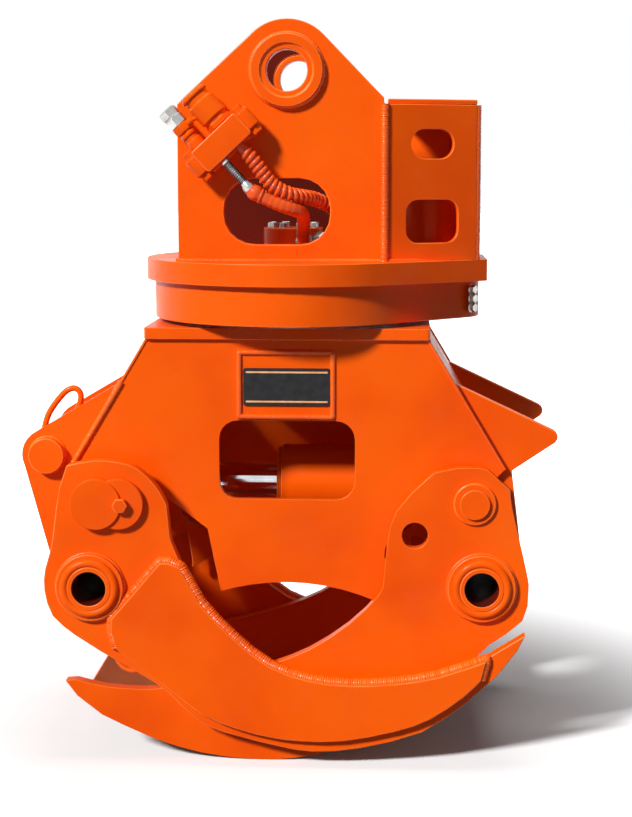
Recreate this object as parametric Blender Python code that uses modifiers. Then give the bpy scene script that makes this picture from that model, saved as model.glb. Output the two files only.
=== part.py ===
"""Log grapple: a headstock with a geared rotator over a frame with two crossing jaws.

Metres, +Z up. The ground point under the slew axis is the origin, +X is to the right
as seen from the front, and the front faces -Y. The jaws stand closed.
"""
from math import atan2, cos, hypot, pi, radians, sin

import bpy
from mathutils import Vector

# Clearances
SEAT_GAP = 0.0003
RUN_GAP = 0.0004
CUT_RUN = 0.003
MERGE_REACH = 0.00005

# Heights of the stack, from the ground up
PIVOT_Z = 0.2886
CYLINDER_PIN_RISE = 0.135
FRAME_PLATE_TOP = 0.6797
TOP_PLATE_THICK = 0.018
HOUSING_RUN_GAP = 0.007
HOUSING_HEIGHT = 0.0624
FLANGE_THICK = 0.035
BORE_RISE = 0.298

# Lower frame
PIVOT_X = 0.310
CYLINDER_PIN_INSET = 0.012
FRAME_TOP_HALF = 0.223
FRAME_WIDE_HALF = 0.346
FRAME_WIDE_Z = 0.474
TOP_PLATE_HALF_X = 0.227
TOP_PLATE_HALF_Y = 0.170
FRONT_PLATE_FACE = 0.162
FRONT_PLATE_THICK = 0.012
WING_THICK = 0.016
SIDE_PLATE_THICK = 0.012
ARCH_TOP_Z = 0.287
ARCH_RADIUS = 0.364
ARCH_HALF = 0.195
ARCH_WEB = 0.016
WINDOW_CENTRE_Z = 0.486
WINDOW_WIDTH = 0.217
WINDOW_HEIGHT = 0.127
WINDOW_CORNER = 0.030
PIVOT_LOBE = 0.070
SWEEP_OPEN = radians(65.0)
WING_REACH = 0.430
WING_NOSE = 0.042
WING_NOSE_Z = 0.489
WING_ROOT_X = 0.262
WING_ROOT_Z = 0.612
RIGHT_WING_NOSE = 0.012
RIGHT_WING_NOSE_Z = 0.525
RIGHT_WING_LOWER_Z = 0.470
WING_PIN_RADIUS = 0.029
WING_PIN_PROUD = 0.016
BADGE_WIDTH = 0.138
BADGE_HEIGHT = 0.060
BADGE_THICK = 0.003
BADGE_Z = 0.604

# Pivot pins and bosses
PIVOT_PIN_RADIUS = 0.035
PIVOT_PIN_BORE = 0.027
PIVOT_PIN_PROUD = 0.006
JAW_BOSS_RADIUS = 0.054
JAW_BOSS_PROUD = 0.010
CYLINDER_PIN_RADIUS = 0.024
CYLINDER_PIN_PROUD = 0.012
PIN_RING_PROUD = 0.004
PIN_HEAD_RADIUS = 0.041
PIN_HEAD_THICK = 0.012
KEEPER_REACH = 0.040
KEEPER_RADIUS = 0.022
KEEPER_BOLT_RADIUS = 0.0125
KEEPER_BOLT_HEIGHT = 0.010
KEEPER_BOLT_SHANK = 0.006

# Jaws
JAW_GAP = 0.004
RIGHT_JAW_THICK = 0.020
LEFT_JAW_THICK = 0.022
CHEEK_THICK = 0.012
JAW_REACH = 0.700
SIGHT_HOLE_RADIUS = 0.021
FLOOR_THICK = 0.012
FLOOR_INSET = 0.012
TORQUE_TUBE_RADIUS = 0.028
TORQUE_TUBE_WALL = 0.008

# Cylinder
EYE_RADIUS = 0.036
EYE_HALF = 0.034
BARREL_RADIUS = 0.060
BARREL_WALL = 0.010
BARREL_BASE = 0.014
BARREL_LENGTH = 0.2795
GLAND_LENGTH = 0.016
GLAND_LIP = 0.007
GLAND_LIP_RADIUS = 0.056
ROD_RADIUS = 0.028
PISTON_LENGTH = 0.016
PISTON_PLAY = 0.001

# Slew drive
HOUSING_RADIUS = 0.230
HOUSING_WALL = 0.010
LOBE_RADIUS = 0.060
LOBE_END_X = 0.309
FLANGE_RADIUS = 0.243
FLANGE_END_X = 0.319
FLANGE_END_HALF = 0.075
GEAR_MODULE = 0.006
RING_TEETH = 60
PINION_TEETH = 15
GEAR_HEIGHT = 0.031
GEAR_RISE = 0.009
RACE_INNER_RADIUS = 0.110
RACE_WALL = 0.030
BALL_SPACE = 0.012
RACE_PLAY = 0.0015
SPACER_WALL = 0.015
SHAFT_RADIUS = 0.016
SHAFT_LENGTH = 0.100
MOTOR_RADIUS = 0.046
MOTOR_HEIGHT = 0.120
MOTOR_FLANGE_RADIUS = 0.060
MOTOR_FLANGE_THICK = 0.012
MOTOR_CAP_RADIUS = 0.030
MOTOR_CAP_HEIGHT = 0.016
SWIVEL_RADIUS = 0.050
SWIVEL_BORE = 0.030
SWIVEL_RISE = 0.048
SWIVEL_DROP = 0.074
SWIVEL_CROWN = 0.012
SWIVEL_COLLAR_RADIUS = 0.080
SWIVEL_COLLAR_THICK = 0.012
SPOOL_COLLAR_RADIUS = 0.062
SPOOL_COLLAR_THICK = 0.016
SPOOL_TAIL = 0.024

# Headstock
EAR_FACE = 0.150
EAR_THICK = 0.020
EAR_LEFT_X = -0.173
EAR_RIGHT_X = 0.152
EAR_CROWN = 0.080
EAR_SHOULDER_DROP = 0.042
EAR_SHOULDER_IN = 0.010
HEAD_BORE_RADIUS = 0.0325
HEAD_BUSH_RADIUS = 0.042
HEAD_RING_RADIUS = 0.057
HEAD_RING_PROUD = 0.012
EAR_WINDOW_X = -0.016
EAR_WINDOW_WIDTH = 0.168
EAR_WINDOW_HEIGHT = 0.104
EAR_WINDOW_RISE = 0.078
EAR_WINDOW_CORNER = 0.048
GUARD_START_X = 0.158
GUARD_END_X = 0.300
GUARD_SLANT = radians(23.4)
GUARD_THICK = 0.008
GUARD_HEIGHT = 0.246
GUARD_SLOT_WIDTH = 0.074
GUARD_SLOT_HEIGHT = 0.046
GUARD_SLOT_RISE = 0.184
GUARD_WINDOW_SIZE = 0.090
GUARD_WINDOW_HEIGHT = 0.068
GUARD_WINDOW_RISE = 0.062
GUARD_WINDOW_CORNER = 0.020

# Hose manifold
BLOCK_X = -0.098
BLOCK_RISE = 0.185
BLOCK_LENGTH = 0.092
BLOCK_WIDTH = 0.042
BLOCK_DEPTH = 0.044
BLOCK_TILT = radians(43.0)
BLOCK_FOOT_LENGTH = 0.128
BLOCK_FOOT_THICK = 0.008
BLOCK_FOOT_WIDTH = 0.046
BLOCK_CORNER = 0.004
PORT_BODY_RADIUS = 0.021
PORT_BODY_OFFSET = 0.018
PORT_BODY_LENGTH = 0.058
PORT_SPACING = 0.034
PORT_NECK_OFFSET = 0.030
PORT_NECK_RADIUS = 0.012
PORT_NECK_LENGTH = 0.050
PORT_HEX_RADIUS = 0.019
PORT_HEX_LENGTH = 0.034
HOSE_RADIUS = 0.0105
LEFT_LEAD = 0.060
RIGHT_LEAD = 0.030
SWIVEL_LEAD = 0.026
SWIVEL_PORT_X = 0.022
SWIVEL_PORT_DROP = 0.020
SWIVEL_PORT_TURN = radians(-35.0)
LEFT_ROUTE = [(-0.036, -0.180, 0.9045), (-0.008, -0.177, 0.8915), (0.013, -0.167, 0.884), (0.0235, -0.148, 0.879),
              (0.0245, -0.118, 0.863), (0.022, -0.094, 0.842)]
RIGHT_ROUTE = [(-0.022, -0.176, 0.924), (0.004, -0.168, 0.909), (0.026, -0.150, 0.904), (0.045, -0.124, 0.899),
               (0.072, -0.098, 0.884), (0.084, -0.072, 0.856)]

# Levels that follow from the sizes above
CYLINDER_PIN_X = PIVOT_X - CYLINDER_PIN_INSET
CYLINDER_PIN_Z = PIVOT_Z + CYLINDER_PIN_RISE
CRANK = hypot(CYLINDER_PIN_INSET, CYLINDER_PIN_RISE)
CRANK_REST = atan2(CYLINDER_PIN_INSET, CYLINDER_PIN_RISE)
TOP_PLATE_LOW = FRAME_PLATE_TOP + SEAT_GAP
TOP_PLATE_TOP = TOP_PLATE_LOW + TOP_PLATE_THICK
HOUSING_LOW = TOP_PLATE_TOP + HOUSING_RUN_GAP
FLANGE_LOW = HOUSING_LOW + HOUSING_HEIGHT + SEAT_GAP
FLANGE_TOP = FLANGE_LOW + FLANGE_THICK
EAR_LOW = FLANGE_TOP + SEAT_GAP
BORE_Z = EAR_LOW + BORE_RISE
WING_FACE = FRONT_PLATE_FACE - FRONT_PLATE_THICK - SEAT_GAP
WING_INNER = WING_FACE - WING_THICK
RIGHT_JAW_INNER = FRONT_PLATE_FACE + JAW_GAP
RIGHT_JAW_FACE = RIGHT_JAW_INNER + RIGHT_JAW_THICK
LEFT_JAW_INNER = RIGHT_JAW_FACE + JAW_GAP
LEFT_JAW_FACE = LEFT_JAW_INNER + LEFT_JAW_THICK
CHEEK_INNER = LEFT_JAW_FACE + SEAT_GAP
RING_PITCH_RADIUS = GEAR_MODULE * RING_TEETH / 2
PINION_PITCH_RADIUS = GEAR_MODULE * PINION_TEETH / 2
MOTOR_X = RING_PITCH_RADIUS + PINION_PITCH_RADIUS
GEAR_LOW = HOUSING_LOW + GEAR_RISE
RACE_RADIUS = RACE_INNER_RADIUS + RACE_WALL
GEAR_BORE = RACE_RADIUS + BALL_SPACE
SPACER_RADIUS = GEAR_BORE + SPACER_WALL

# Jaw outlines, from the pivot, as shares of the reach; x grows towards the tip
ARM_shares = [(-0.050, 0.278), (0.012, 0.290), (0.070, 0.286), (0.112, 0.272), (0.153, 0.232),
              (0.176, 0.191)]
LEFT_INNER_shares = [(0.184, 0.112), (0.208, 0.052), (0.250, -0.028), (0.325, -0.108), (0.408, -0.172),
                     (0.500, -0.205), (0.590, -0.213), (0.690, -0.208), (0.790, -0.190), (0.902, -0.150)]
LEFT_TIP_shares = [(0.984, -0.098), (0.966, -0.135), (0.920, -0.195)]
LEFT_OUTER_shares = [(0.850, -0.260), (0.753, -0.328), (0.612, -0.368), (0.503, -0.378), (0.424, -0.366),
                     (0.343, -0.347), (0.250, -0.315), (0.172, -0.242), (0.118, -0.206), (0.023, -0.152)]
HEEL_shares = [(-0.040, -0.112), (-0.088, -0.070), (-0.106, -0.010), (-0.103, 0.040), (-0.088, 0.090),
               (-0.076, 0.175), (-0.068, 0.225)]
RIGHT_ARM_shares = [(-0.016, 0.266), (0.009, 0.274), (0.109, 0.262), (0.194, 0.172)]
RIGHT_INNER_shares = [(0.206, 0.140), (0.214, 0.092), (0.221, 0.018), (0.231, -0.020), (0.300, -0.090),
                      (0.390, -0.150), (0.480, -0.187), (0.600, -0.222), (0.720, -0.245), (0.777, -0.250),
                      (0.860, -0.245), (0.928, -0.230)]
RIGHT_TIP_shares = [(0.954, -0.232), (0.927, -0.268)]
RIGHT_OUTER_shares = [(0.870, -0.312), (0.754, -0.365), (0.640, -0.398), (0.526, -0.4114), (0.434, -0.408),
                      (0.330, -0.385), (0.200, -0.320), (0.110, -0.250), (0.040, -0.190)]
RIGHT_HEEL_shares = [(-0.020, -0.132), (-0.093, -0.076), (-0.106, -0.010), (-0.103, 0.030), (-0.081, 0.123),
                     (-0.066, 0.187), (-0.062, 0.223)]
CHEEK_TOP_shares = [(0.161, 0.060), (0.206, 0.050), (0.250, -0.030), (0.325, -0.110), (0.408, -0.175),
                    (0.500, -0.207), (0.590, -0.216), (0.690, -0.211), (0.790, -0.193), (0.896, -0.155)]
CHEEK_LOW_shares = [(0.884, -0.200), (0.844, -0.240), (0.770, -0.292), (0.691, -0.322), (0.574, -0.346),
                    (0.481, -0.348), (0.413, -0.341), (0.334, -0.322), (0.253, -0.288), (0.170, -0.224),
                    (0.060, -0.140), (0.050, -0.070)]
FLOOR_shares = [(0.024, -0.180), (0.110, -0.226), (0.200, -0.296), (0.330, -0.361), (0.434, -0.384),
                (0.526, -0.3874), (0.640, -0.374), (0.754, -0.341), (0.860, -0.292), (0.910, -0.262)]
SIGHT_HOLE_shares = (0.151, 0.118)
TORQUE_TUBE_shares = (0.093, -0.164)

RING_STEPS = 32
HOLE_STEPS = 20
BOLT_HOLE_STEPS = 12
HEX_STEPS = 6

PAINT = (0.80, 0.115, 0.004)
STEEL = (0.50, 0.50, 0.50)
CHROME = (0.70, 0.71, 0.73)
BLACK = (0.012, 0.012, 0.013)
RUBBER = (0.70, 0.095, 0.006)


def start_scene():
    """Remove what is in the scene and make the two collections."""
    for item in list(bpy.data.objects):
        bpy.data.objects.remove(item, do_unlink=True)
    grapple = bpy.data.collections.new("log_grapple")
    bpy.context.scene.collection.children.link(grapple)
    return grapple


def finish(name, colour, roughness, metallic):
    """A Principled material."""
    made = bpy.data.materials.new(name)
    made.use_nodes = True
    shader = made.node_tree.nodes["Principled BSDF"]
    shader.inputs["Base Color"].default_value = (*colour, 1.0)
    shader.inputs["Roughness"].default_value = roughness
    shader.inputs["Metallic"].default_value = metallic
    return made


GRAPPLE = start_scene()
FINISHES = {
    "paint": (PAINT, 0.32, 0.0),
    "steel": (STEEL, 0.35, 1.0),
    "chrome": (CHROME, 0.12, 1.0),
    "black": (BLACK, 0.4, 0.0),
    "hose": (RUBBER, 0.5, 0.0),
}


def place(piece, kind):
    """Give a piece its own material and put it in the grapple's collection."""
    colour, roughness, metallic = FINISHES[kind]
    piece.data.materials.clear()
    piece.data.materials.append(finish(piece.name + "_" + kind, colour, roughness, metallic))
    GRAPPLE.objects.link(piece)
    return piece


def arc(centre, radius, start, end, steps):
    """Points along an arc, both ends included; angles run from +X towards the second axis."""
    return [(centre[0] + radius * cos(start + (end - start) * i / steps),
             centre[1] + radius * sin(start + (end - start) * i / steps)) for i in range(steps + 1)]


def circle(centre, radius, steps=RING_STEPS):
    """Points around a full circle."""
    return arc(centre, radius, 0.0, 2 * pi * (steps - 1) / steps, steps - 1)


def rounded_box(centre, width, height, corner, steps=5):
    """Outline of a box with round corners."""
    points = []
    for turn, (sx, sz) in enumerate([(1, 1), (-1, 1), (-1, -1), (1, -1)]):
        middle = (centre[0] + sx * (width / 2 - corner), centre[1] + sz * (height / 2 - corner))
        points += arc(middle, corner, turn * pi / 2, (turn + 1) * pi / 2, steps)
    return points


def smooth(points, steps=2):
    """A smooth run through a list of points, its ends kept."""
    ends = [points[0]] + list(points) + [points[-1]]
    run = []
    for i in range(1, len(ends) - 2):
        a, b, c, d = ends[i - 1], ends[i], ends[i + 1], ends[i + 2]
        for k in range(steps):
            t = k / steps
            run.append(tuple(0.5 * (2 * q + (r - p) * t + (2 * p - 5 * q + 4 * r - s) * t * t
                                    + (3 * q - p - 3 * r + s) * t ** 3) for p, q, r, s in zip(a, b, c, d)))
    return run + [tuple(points[-1])]


def outline_plate(name, loops, thick, location, turn, kind):
    """A flat plate: a filled outline with its holes, extruded to its thickness."""
    curve = bpy.data.curves.new(name, "CURVE")
    curve.dimensions = "2D"
    curve.fill_mode = "BOTH"
    curve.extrude = thick / 2
    for loop in loops:
        spline = curve.splines.new("POLY")
        spline.points.add(len(loop) - 1)
        for point, (x, y) in zip(spline.points, loop):
            point.co = (x, y, 0.0, 1.0)
        spline.use_cyclic_u = True
    piece = bpy.data.objects.new(name, curve)
    piece.location = location
    piece.rotation_euler = turn
    return place(piece, kind)


def upright(name, loops, inner, thick, side, kind="paint"):
    """A plate that stands along X; its inner face is inner metres from the middle."""
    y = side * (inner + thick / 2)
    return outline_plate(name, loops, thick, (0.0, y, 0.0), (radians(90.0), 0.0, 0.0), kind)


def lying(name, loops, low, thick, kind="paint"):
    """A plate that lies flat with its lower face at low."""
    return outline_plate(name, loops, thick, (0.0, 0.0, low + thick / 2), (0.0, 0.0, 0.0), kind)


AXES = {"X": (0.0, radians(90.0), 0.0), "Y": (radians(-90.0), 0.0, 0.0), "Z": (0.0, 0.0, 0.0)}


def turned(name, rings, solids, axis, location, kind, steps=RING_STEPS, turn=None):
    """Turned solids on one axis. A ring is a closed profile, a solid starts and ends on the axis."""
    mesh = bpy.data.meshes.new(name)
    points, edges = [], []
    for profile, closed in [(r, True) for r in rings] + [(s, False) for s in solids]:
        first = len(points)
        points += [(r, 0.0, h) for r, h in profile]
        edges += [(first + i, first + i + 1) for i in range(len(profile) - 1)]
        if closed:
            edges.append((len(points) - 1, first))
    mesh.from_pydata(points, edges, [])
    piece = bpy.data.objects.new(name, mesh)
    piece.location = location
    piece.rotation_euler = turn if turn else AXES[axis]
    screw = piece.modifiers.new("turn", "SCREW")
    screw.angle = 2 * pi
    screw.steps = steps
    screw.render_steps = steps
    screw.use_merge_vertices = True
    screw.merge_threshold = MERGE_REACH
    screw.use_smooth_shade = True
    return place(piece, kind)


def tube(inner, outer, low, high):
    """Closed profile of a plain ring."""
    return [(outer, high), (outer, low), (inner, low), (inner, high)]


def rod(radius, low, high):
    """Open profile of a plain round bar."""
    return [(0.0, high), (radius, high), (radius, low), (0.0, low)]


def gear_outline(teeth, phase):
    """Outline of a spur gear; its flanks are narrowed a little for backlash."""
    pitch = GEAR_MODULE * teeth / 2
    step = 2 * pi / teeth
    tooth_shares = [(-1.2, -0.28), (0.9, -0.12), (0.9, 0.12), (-1.2, 0.28)]
    points = []
    for i in range(teeth):
        for rise, width in tooth_shares:
            radius = pitch + rise * GEAR_MODULE
            angle = phase + (i + width) * step
            points.append((radius * cos(angle), radius * sin(angle)))
    return points


def pear(radius, end_x, end_radius, steps=36):
    """Pear outline: a big circle at the slew axis joined by tangents to a small one on +X."""
    centre = end_x - end_radius
    lean = pi / 2 - atan2(radius - end_radius, (centre ** 2 - (radius - end_radius) ** 2) ** 0.5)
    return arc((0.0, 0.0), radius, lean, 2 * pi - lean, steps) \
        + arc((centre, 0.0), end_radius, -lean, lean, steps // 3)


def jaw_points(shares, side):
    """Share points of a jaw, scaled by the reach and set about its pivot; side is -1 left, 1 right."""
    return [(side * (PIVOT_X - x * JAW_REACH), PIVOT_Z + z * JAW_REACH) for x, z in shares]


def pin_point(side, open_angle):
    """Where the cylinder pin stands in the XZ plane when the jaw has opened by an angle."""
    angle = CRANK_REST + open_angle
    return (side * (PIVOT_X - CRANK * sin(angle)), PIVOT_Z + CRANK * cos(angle))


def sweep_edge(side, radius, start, end, steps):
    """Arc about a jaw's pivot, with angles measured from straight up towards the middle."""
    return [(side * (PIVOT_X - radius * sin(start + (end - start) * i / steps)),
             PIVOT_Z + radius * cos(start + (end - start) * i / steps)) for i in range(steps + 1)]


def sweep_slot(side):
    """Curved slot that leaves room for the cylinder pin over its whole travel."""
    room = CYLINDER_PIN_RADIUS + CUT_RUN
    outer = sweep_edge(side, CRANK + room, CRANK_REST, CRANK_REST + SWEEP_OPEN, 12)
    inner = sweep_edge(side, CRANK - room, CRANK_REST + SWEEP_OPEN, CRANK_REST, 9)
    end = pin_point(side, SWEEP_OPEN)
    start = pin_point(side, 0.0)
    far = pi / 2 - (CRANK_REST + SWEEP_OPEN)
    near = pi / 2 - CRANK_REST
    end_cap = [(end[0] - side * room * cos(far - pi * i / 6), end[1] + room * sin(far - pi * i / 6))
               for i in range(1, 6)]
    start_cap = [(start[0] - side * room * cos(near + pi - pi * i / 6),
                  start[1] + room * sin(near + pi - pi * i / 6)) for i in range(1, 6)]
    return outer + end_cap + inner + start_cap


# Lower frame

def frame_face_outline():
    """Outline of the front and back plates, with the pin sweep cut out of both lower corners."""
    room = CYLINDER_PIN_RADIUS + CUT_RUN
    arch_low = ARCH_TOP_Z - ARCH_RADIUS + (ARCH_RADIUS ** 2 - ARCH_HALF ** 2) ** 0.5
    half = atan2(ARCH_HALF, (ARCH_RADIUS ** 2 - ARCH_HALF ** 2) ** 0.5)
    right = [(FRAME_TOP_HALF, FRAME_PLATE_TOP), (FRAME_WIDE_HALF, FRAME_WIDE_Z)]
    right += sweep_edge(1, CRANK + room, CRANK_REST - radians(10.0), CRANK_REST + SWEEP_OPEN, 12)
    end = pin_point(1, SWEEP_OPEN)
    far = pi / 2 - (CRANK_REST + SWEEP_OPEN)
    right += [(end[0] - room * cos(far - pi * i / 6), end[1] + room * sin(far - pi * i / 6))
              for i in range(1, 6)]
    right += sweep_edge(1, CRANK - room, CRANK_REST + SWEEP_OPEN, radians(90.0), 3)
    arch = [(ARCH_RADIUS * sin(half - 2 * half * i / 14),
             ARCH_TOP_Z - ARCH_RADIUS + ARCH_RADIUS * cos(half - 2 * half * i / 14)) for i in range(15)]
    right.append((ARCH_HALF, arch_low + ARCH_WEB))
    left = [(-x, z) for x, z in reversed(right)]
    return right + arch + left


def frame_plates():
    """Front plate with its window, back plate, top plate and the slanted side plates."""
    window = rounded_box((0.0, WINDOW_CENTRE_Z), WINDOW_WIDTH, WINDOW_HEIGHT, WINDOW_CORNER)
    inner = FRONT_PLATE_FACE - FRONT_PLATE_THICK
    upright("frame_front_plate", [frame_face_outline(), window], inner, FRONT_PLATE_THICK, -1)
    upright("frame_back_plate", [frame_face_outline()], inner, FRONT_PLATE_THICK, 1)
    top = rounded_box((0.0, 0.0), 2 * TOP_PLATE_HALF_X, 2 * TOP_PLATE_HALF_Y, SIDE_PLATE_THICK / 2, 2)
    eye = circle((0.0, 0.0), SWIVEL_BORE + SEAT_GAP)
    lying("frame_top_plate", [top, eye], TOP_PLATE_LOW, TOP_PLATE_THICK)
    for side, name in ((-1, "frame_left_side_plate"), (1, "frame_right_side_plate")):
        run = Vector((FRAME_WIDE_HALF - FRAME_TOP_HALF, FRAME_WIDE_Z - FRAME_PLATE_TOP))
        normal = Vector((run.y, -run.x)).normalized() * SIDE_PLATE_THICK
        tuck = run.normalized() * SIDE_PLATE_THICK
        high = Vector((FRAME_TOP_HALF, FRAME_PLATE_TOP)) + tuck
        low = Vector((FRAME_WIDE_HALF, FRAME_WIDE_Z)) - tuck
        strip = [high, low, low + normal, high + normal]
        loop = [(side * p.x, p.y) for p in strip]
        span = 2 * (WING_INNER - SEAT_GAP)
        upright(name, [loop], -span / 2, span, 1)


def left_wing_outline(nose_x, nose_radius, nose_z):
    """Outline of a left wing plate: root under the face plate, round nose, pivot lobe at the foot."""
    centre = (-(nose_x - nose_radius), nose_z)
    nose = arc(centre, nose_radius, radians(116.0), radians(205.0), 7)
    lobe = arc((-PIVOT_X, PIVOT_Z), PIVOT_LOBE, radians(172.0), radians(360.0), 16)
    foot = sweep_edge(-1, CRANK + PIVOT_LOBE, radians(80.0), radians(60.0), 3)
    return [(-WING_ROOT_X, WING_ROOT_Z)] + nose + lobe + foot


def right_wing_outline():
    """Outline of a right wing plate: a pointed wing over the pivot lobe."""
    nose = arc((WING_REACH - RIGHT_WING_NOSE, RIGHT_WING_NOSE_Z), RIGHT_WING_NOSE,
               radians(64.0), radians(-50.0), 4)
    waist = [(FRAME_WIDE_HALF + RIGHT_WING_NOSE, RIGHT_WING_LOWER_Z)]
    lobe = arc((PIVOT_X, PIVOT_Z), PIVOT_LOBE, radians(10.0), radians(-180.0), 16)
    foot = sweep_edge(1, CRANK + PIVOT_LOBE, radians(80.0), radians(60.0), 3)
    return [(WING_ROOT_X, WING_ROOT_Z)] + nose + waist + lobe + foot


def wings():
    """Four wing plates that carry the jaw pivots behind the face plates."""
    bores = {side: circle((side * PIVOT_X, PIVOT_Z), PIVOT_PIN_RADIUS + SEAT_GAP) for side in (-1, 1)}
    pin_hole = circle((-(WING_REACH - WING_NOSE), WING_NOSE_Z), WING_PIN_RADIUS + SEAT_GAP)
    left = left_wing_outline(WING_REACH, WING_NOSE, WING_NOSE_Z)
    for name, y_side in (("left_front_wing", -1), ("left_back_wing", 1)):
        upright(name, [left, bores[-1], pin_hole, sweep_slot(-1)], WING_INNER, WING_THICK, y_side)
    for name, y_side in (("right_front_wing", -1), ("right_back_wing", 1)):
        upright(name, [right_wing_outline(), bores[1], sweep_slot(1)], WING_INNER, WING_THICK, y_side)
    reach = WING_FACE + WING_PIN_PROUD
    turned("left_wing_pin", [], [rod(WING_PIN_RADIUS, -reach, reach)], "Y",
           (-(WING_REACH - WING_NOSE), 0.0, WING_NOSE_Z), "paint", HOLE_STEPS)


def pivots():
    """Hollow pivot pins, and the bosses that are welded into the jaw plates round them."""
    inner = WING_FACE + RUN_GAP
    for side, name, face in ((-1, "left", LEFT_JAW_FACE), (1, "right", RIGHT_JAW_FACE)):
        boss_face = face + JAW_BOSS_PROUD
        reach = boss_face + PIVOT_PIN_PROUD
        centre = (side * PIVOT_X, 0.0, PIVOT_Z)
        turned(name + "_pivot_pin", [tube(PIVOT_PIN_BORE, PIVOT_PIN_RADIUS, -reach, reach)], [], "Y",
               centre, "paint")
        turned(name + "_jaw_front_boss", [tube(PIVOT_PIN_RADIUS + RUN_GAP, JAW_BOSS_RADIUS, -boss_face, -inner)],
               [], "Y", centre, "paint")
        turned(name + "_jaw_back_boss", [tube(PIVOT_PIN_RADIUS + RUN_GAP, JAW_BOSS_RADIUS, inner, boss_face)],
               [], "Y", centre, "paint")


def badge():
    """Bare plate in the middle of the front."""
    loop = rounded_box((0.0, BADGE_Z), BADGE_WIDTH, BADGE_HEIGHT, BADGE_THICK, 2)
    upright("badge_plate", [loop], FRONT_PLATE_FACE + SEAT_GAP, BADGE_THICK, -1, "black")


# Jaws

def left_jaw():
    """Outer jaw: two crescent plates, their cheeks, a torque tube and the bosses."""
    outline = smooth(jaw_points(ARM_shares, -1)) + smooth(jaw_points(LEFT_INNER_shares, -1)) \
        + jaw_points(LEFT_TIP_shares, -1) + smooth(jaw_points(LEFT_OUTER_shares, -1)) \
        + smooth(jaw_points(HEEL_shares, -1))
    bore = circle((-PIVOT_X, PIVOT_Z), JAW_BOSS_RADIUS + SEAT_GAP)
    pin_hole = circle((-CYLINDER_PIN_X, CYLINDER_PIN_Z), CYLINDER_PIN_RADIUS + SEAT_GAP)
    tube_x, tube_z = jaw_points([TORQUE_TUBE_shares], -1)[0]
    cheek = smooth(jaw_points(CHEEK_TOP_shares, -1)) + smooth(jaw_points(CHEEK_LOW_shares, -1))
    for name, side in (("front", -1), ("back", 1)):
        upright("left_jaw_" + name + "_plate", [outline, bore, pin_hole], LEFT_JAW_INNER, LEFT_JAW_THICK, side)
        upright("left_jaw_" + name + "_cheek", [cheek], CHEEK_INNER, CHEEK_THICK, side)
    span = LEFT_JAW_INNER - SEAT_GAP
    wall = tube(TORQUE_TUBE_RADIUS - TORQUE_TUBE_WALL, TORQUE_TUBE_RADIUS, -span, span)
    turned("left_jaw_torque_tube", [wall], [], "Y", (tube_x, 0.0, tube_z), "paint", HOLE_STEPS)


def strip_outline(points, thick):
    """A band of even thickness on the upper side of a run of points."""
    upper = []
    for i, point in enumerate(points):
        before = Vector(points[max(i - 1, 0)])
        after = Vector(points[min(i + 1, len(points) - 1)])
        along = (after - before).normalized()
        upper.append((point[0] + along.y * thick, point[1] - along.x * thick))
    return list(points) + list(reversed(upper))


def right_jaw():
    """Inner jaw: two crescent plates with a curved floor between them and the bosses."""
    outline = smooth(jaw_points(RIGHT_ARM_shares, 1), 2) + smooth(jaw_points(RIGHT_INNER_shares, 1)) \
        + jaw_points(RIGHT_TIP_shares, 1) + smooth(jaw_points(RIGHT_OUTER_shares, 1)) \
        + smooth(jaw_points(RIGHT_HEEL_shares, 1))
    bore = circle((PIVOT_X, PIVOT_Z), JAW_BOSS_RADIUS + SEAT_GAP)
    pin_hole = circle((CYLINDER_PIN_X, CYLINDER_PIN_Z), CYLINDER_PIN_RADIUS + SEAT_GAP)
    sight = circle(jaw_points([SIGHT_HOLE_shares], 1)[0], SIGHT_HOLE_RADIUS, HOLE_STEPS)
    for name, side in (("front", -1), ("back", 1)):
        upright("right_jaw_" + name + "_plate", [outline, bore, pin_hole, sight],
                RIGHT_JAW_INNER, RIGHT_JAW_THICK, side)
    floor = strip_outline(smooth(jaw_points(FLOOR_shares, 1)), FLOOR_THICK)
    span = 2 * (RIGHT_JAW_INNER - SEAT_GAP)
    upright("right_jaw_floor", [floor], -span / 2, span, 1)


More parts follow.
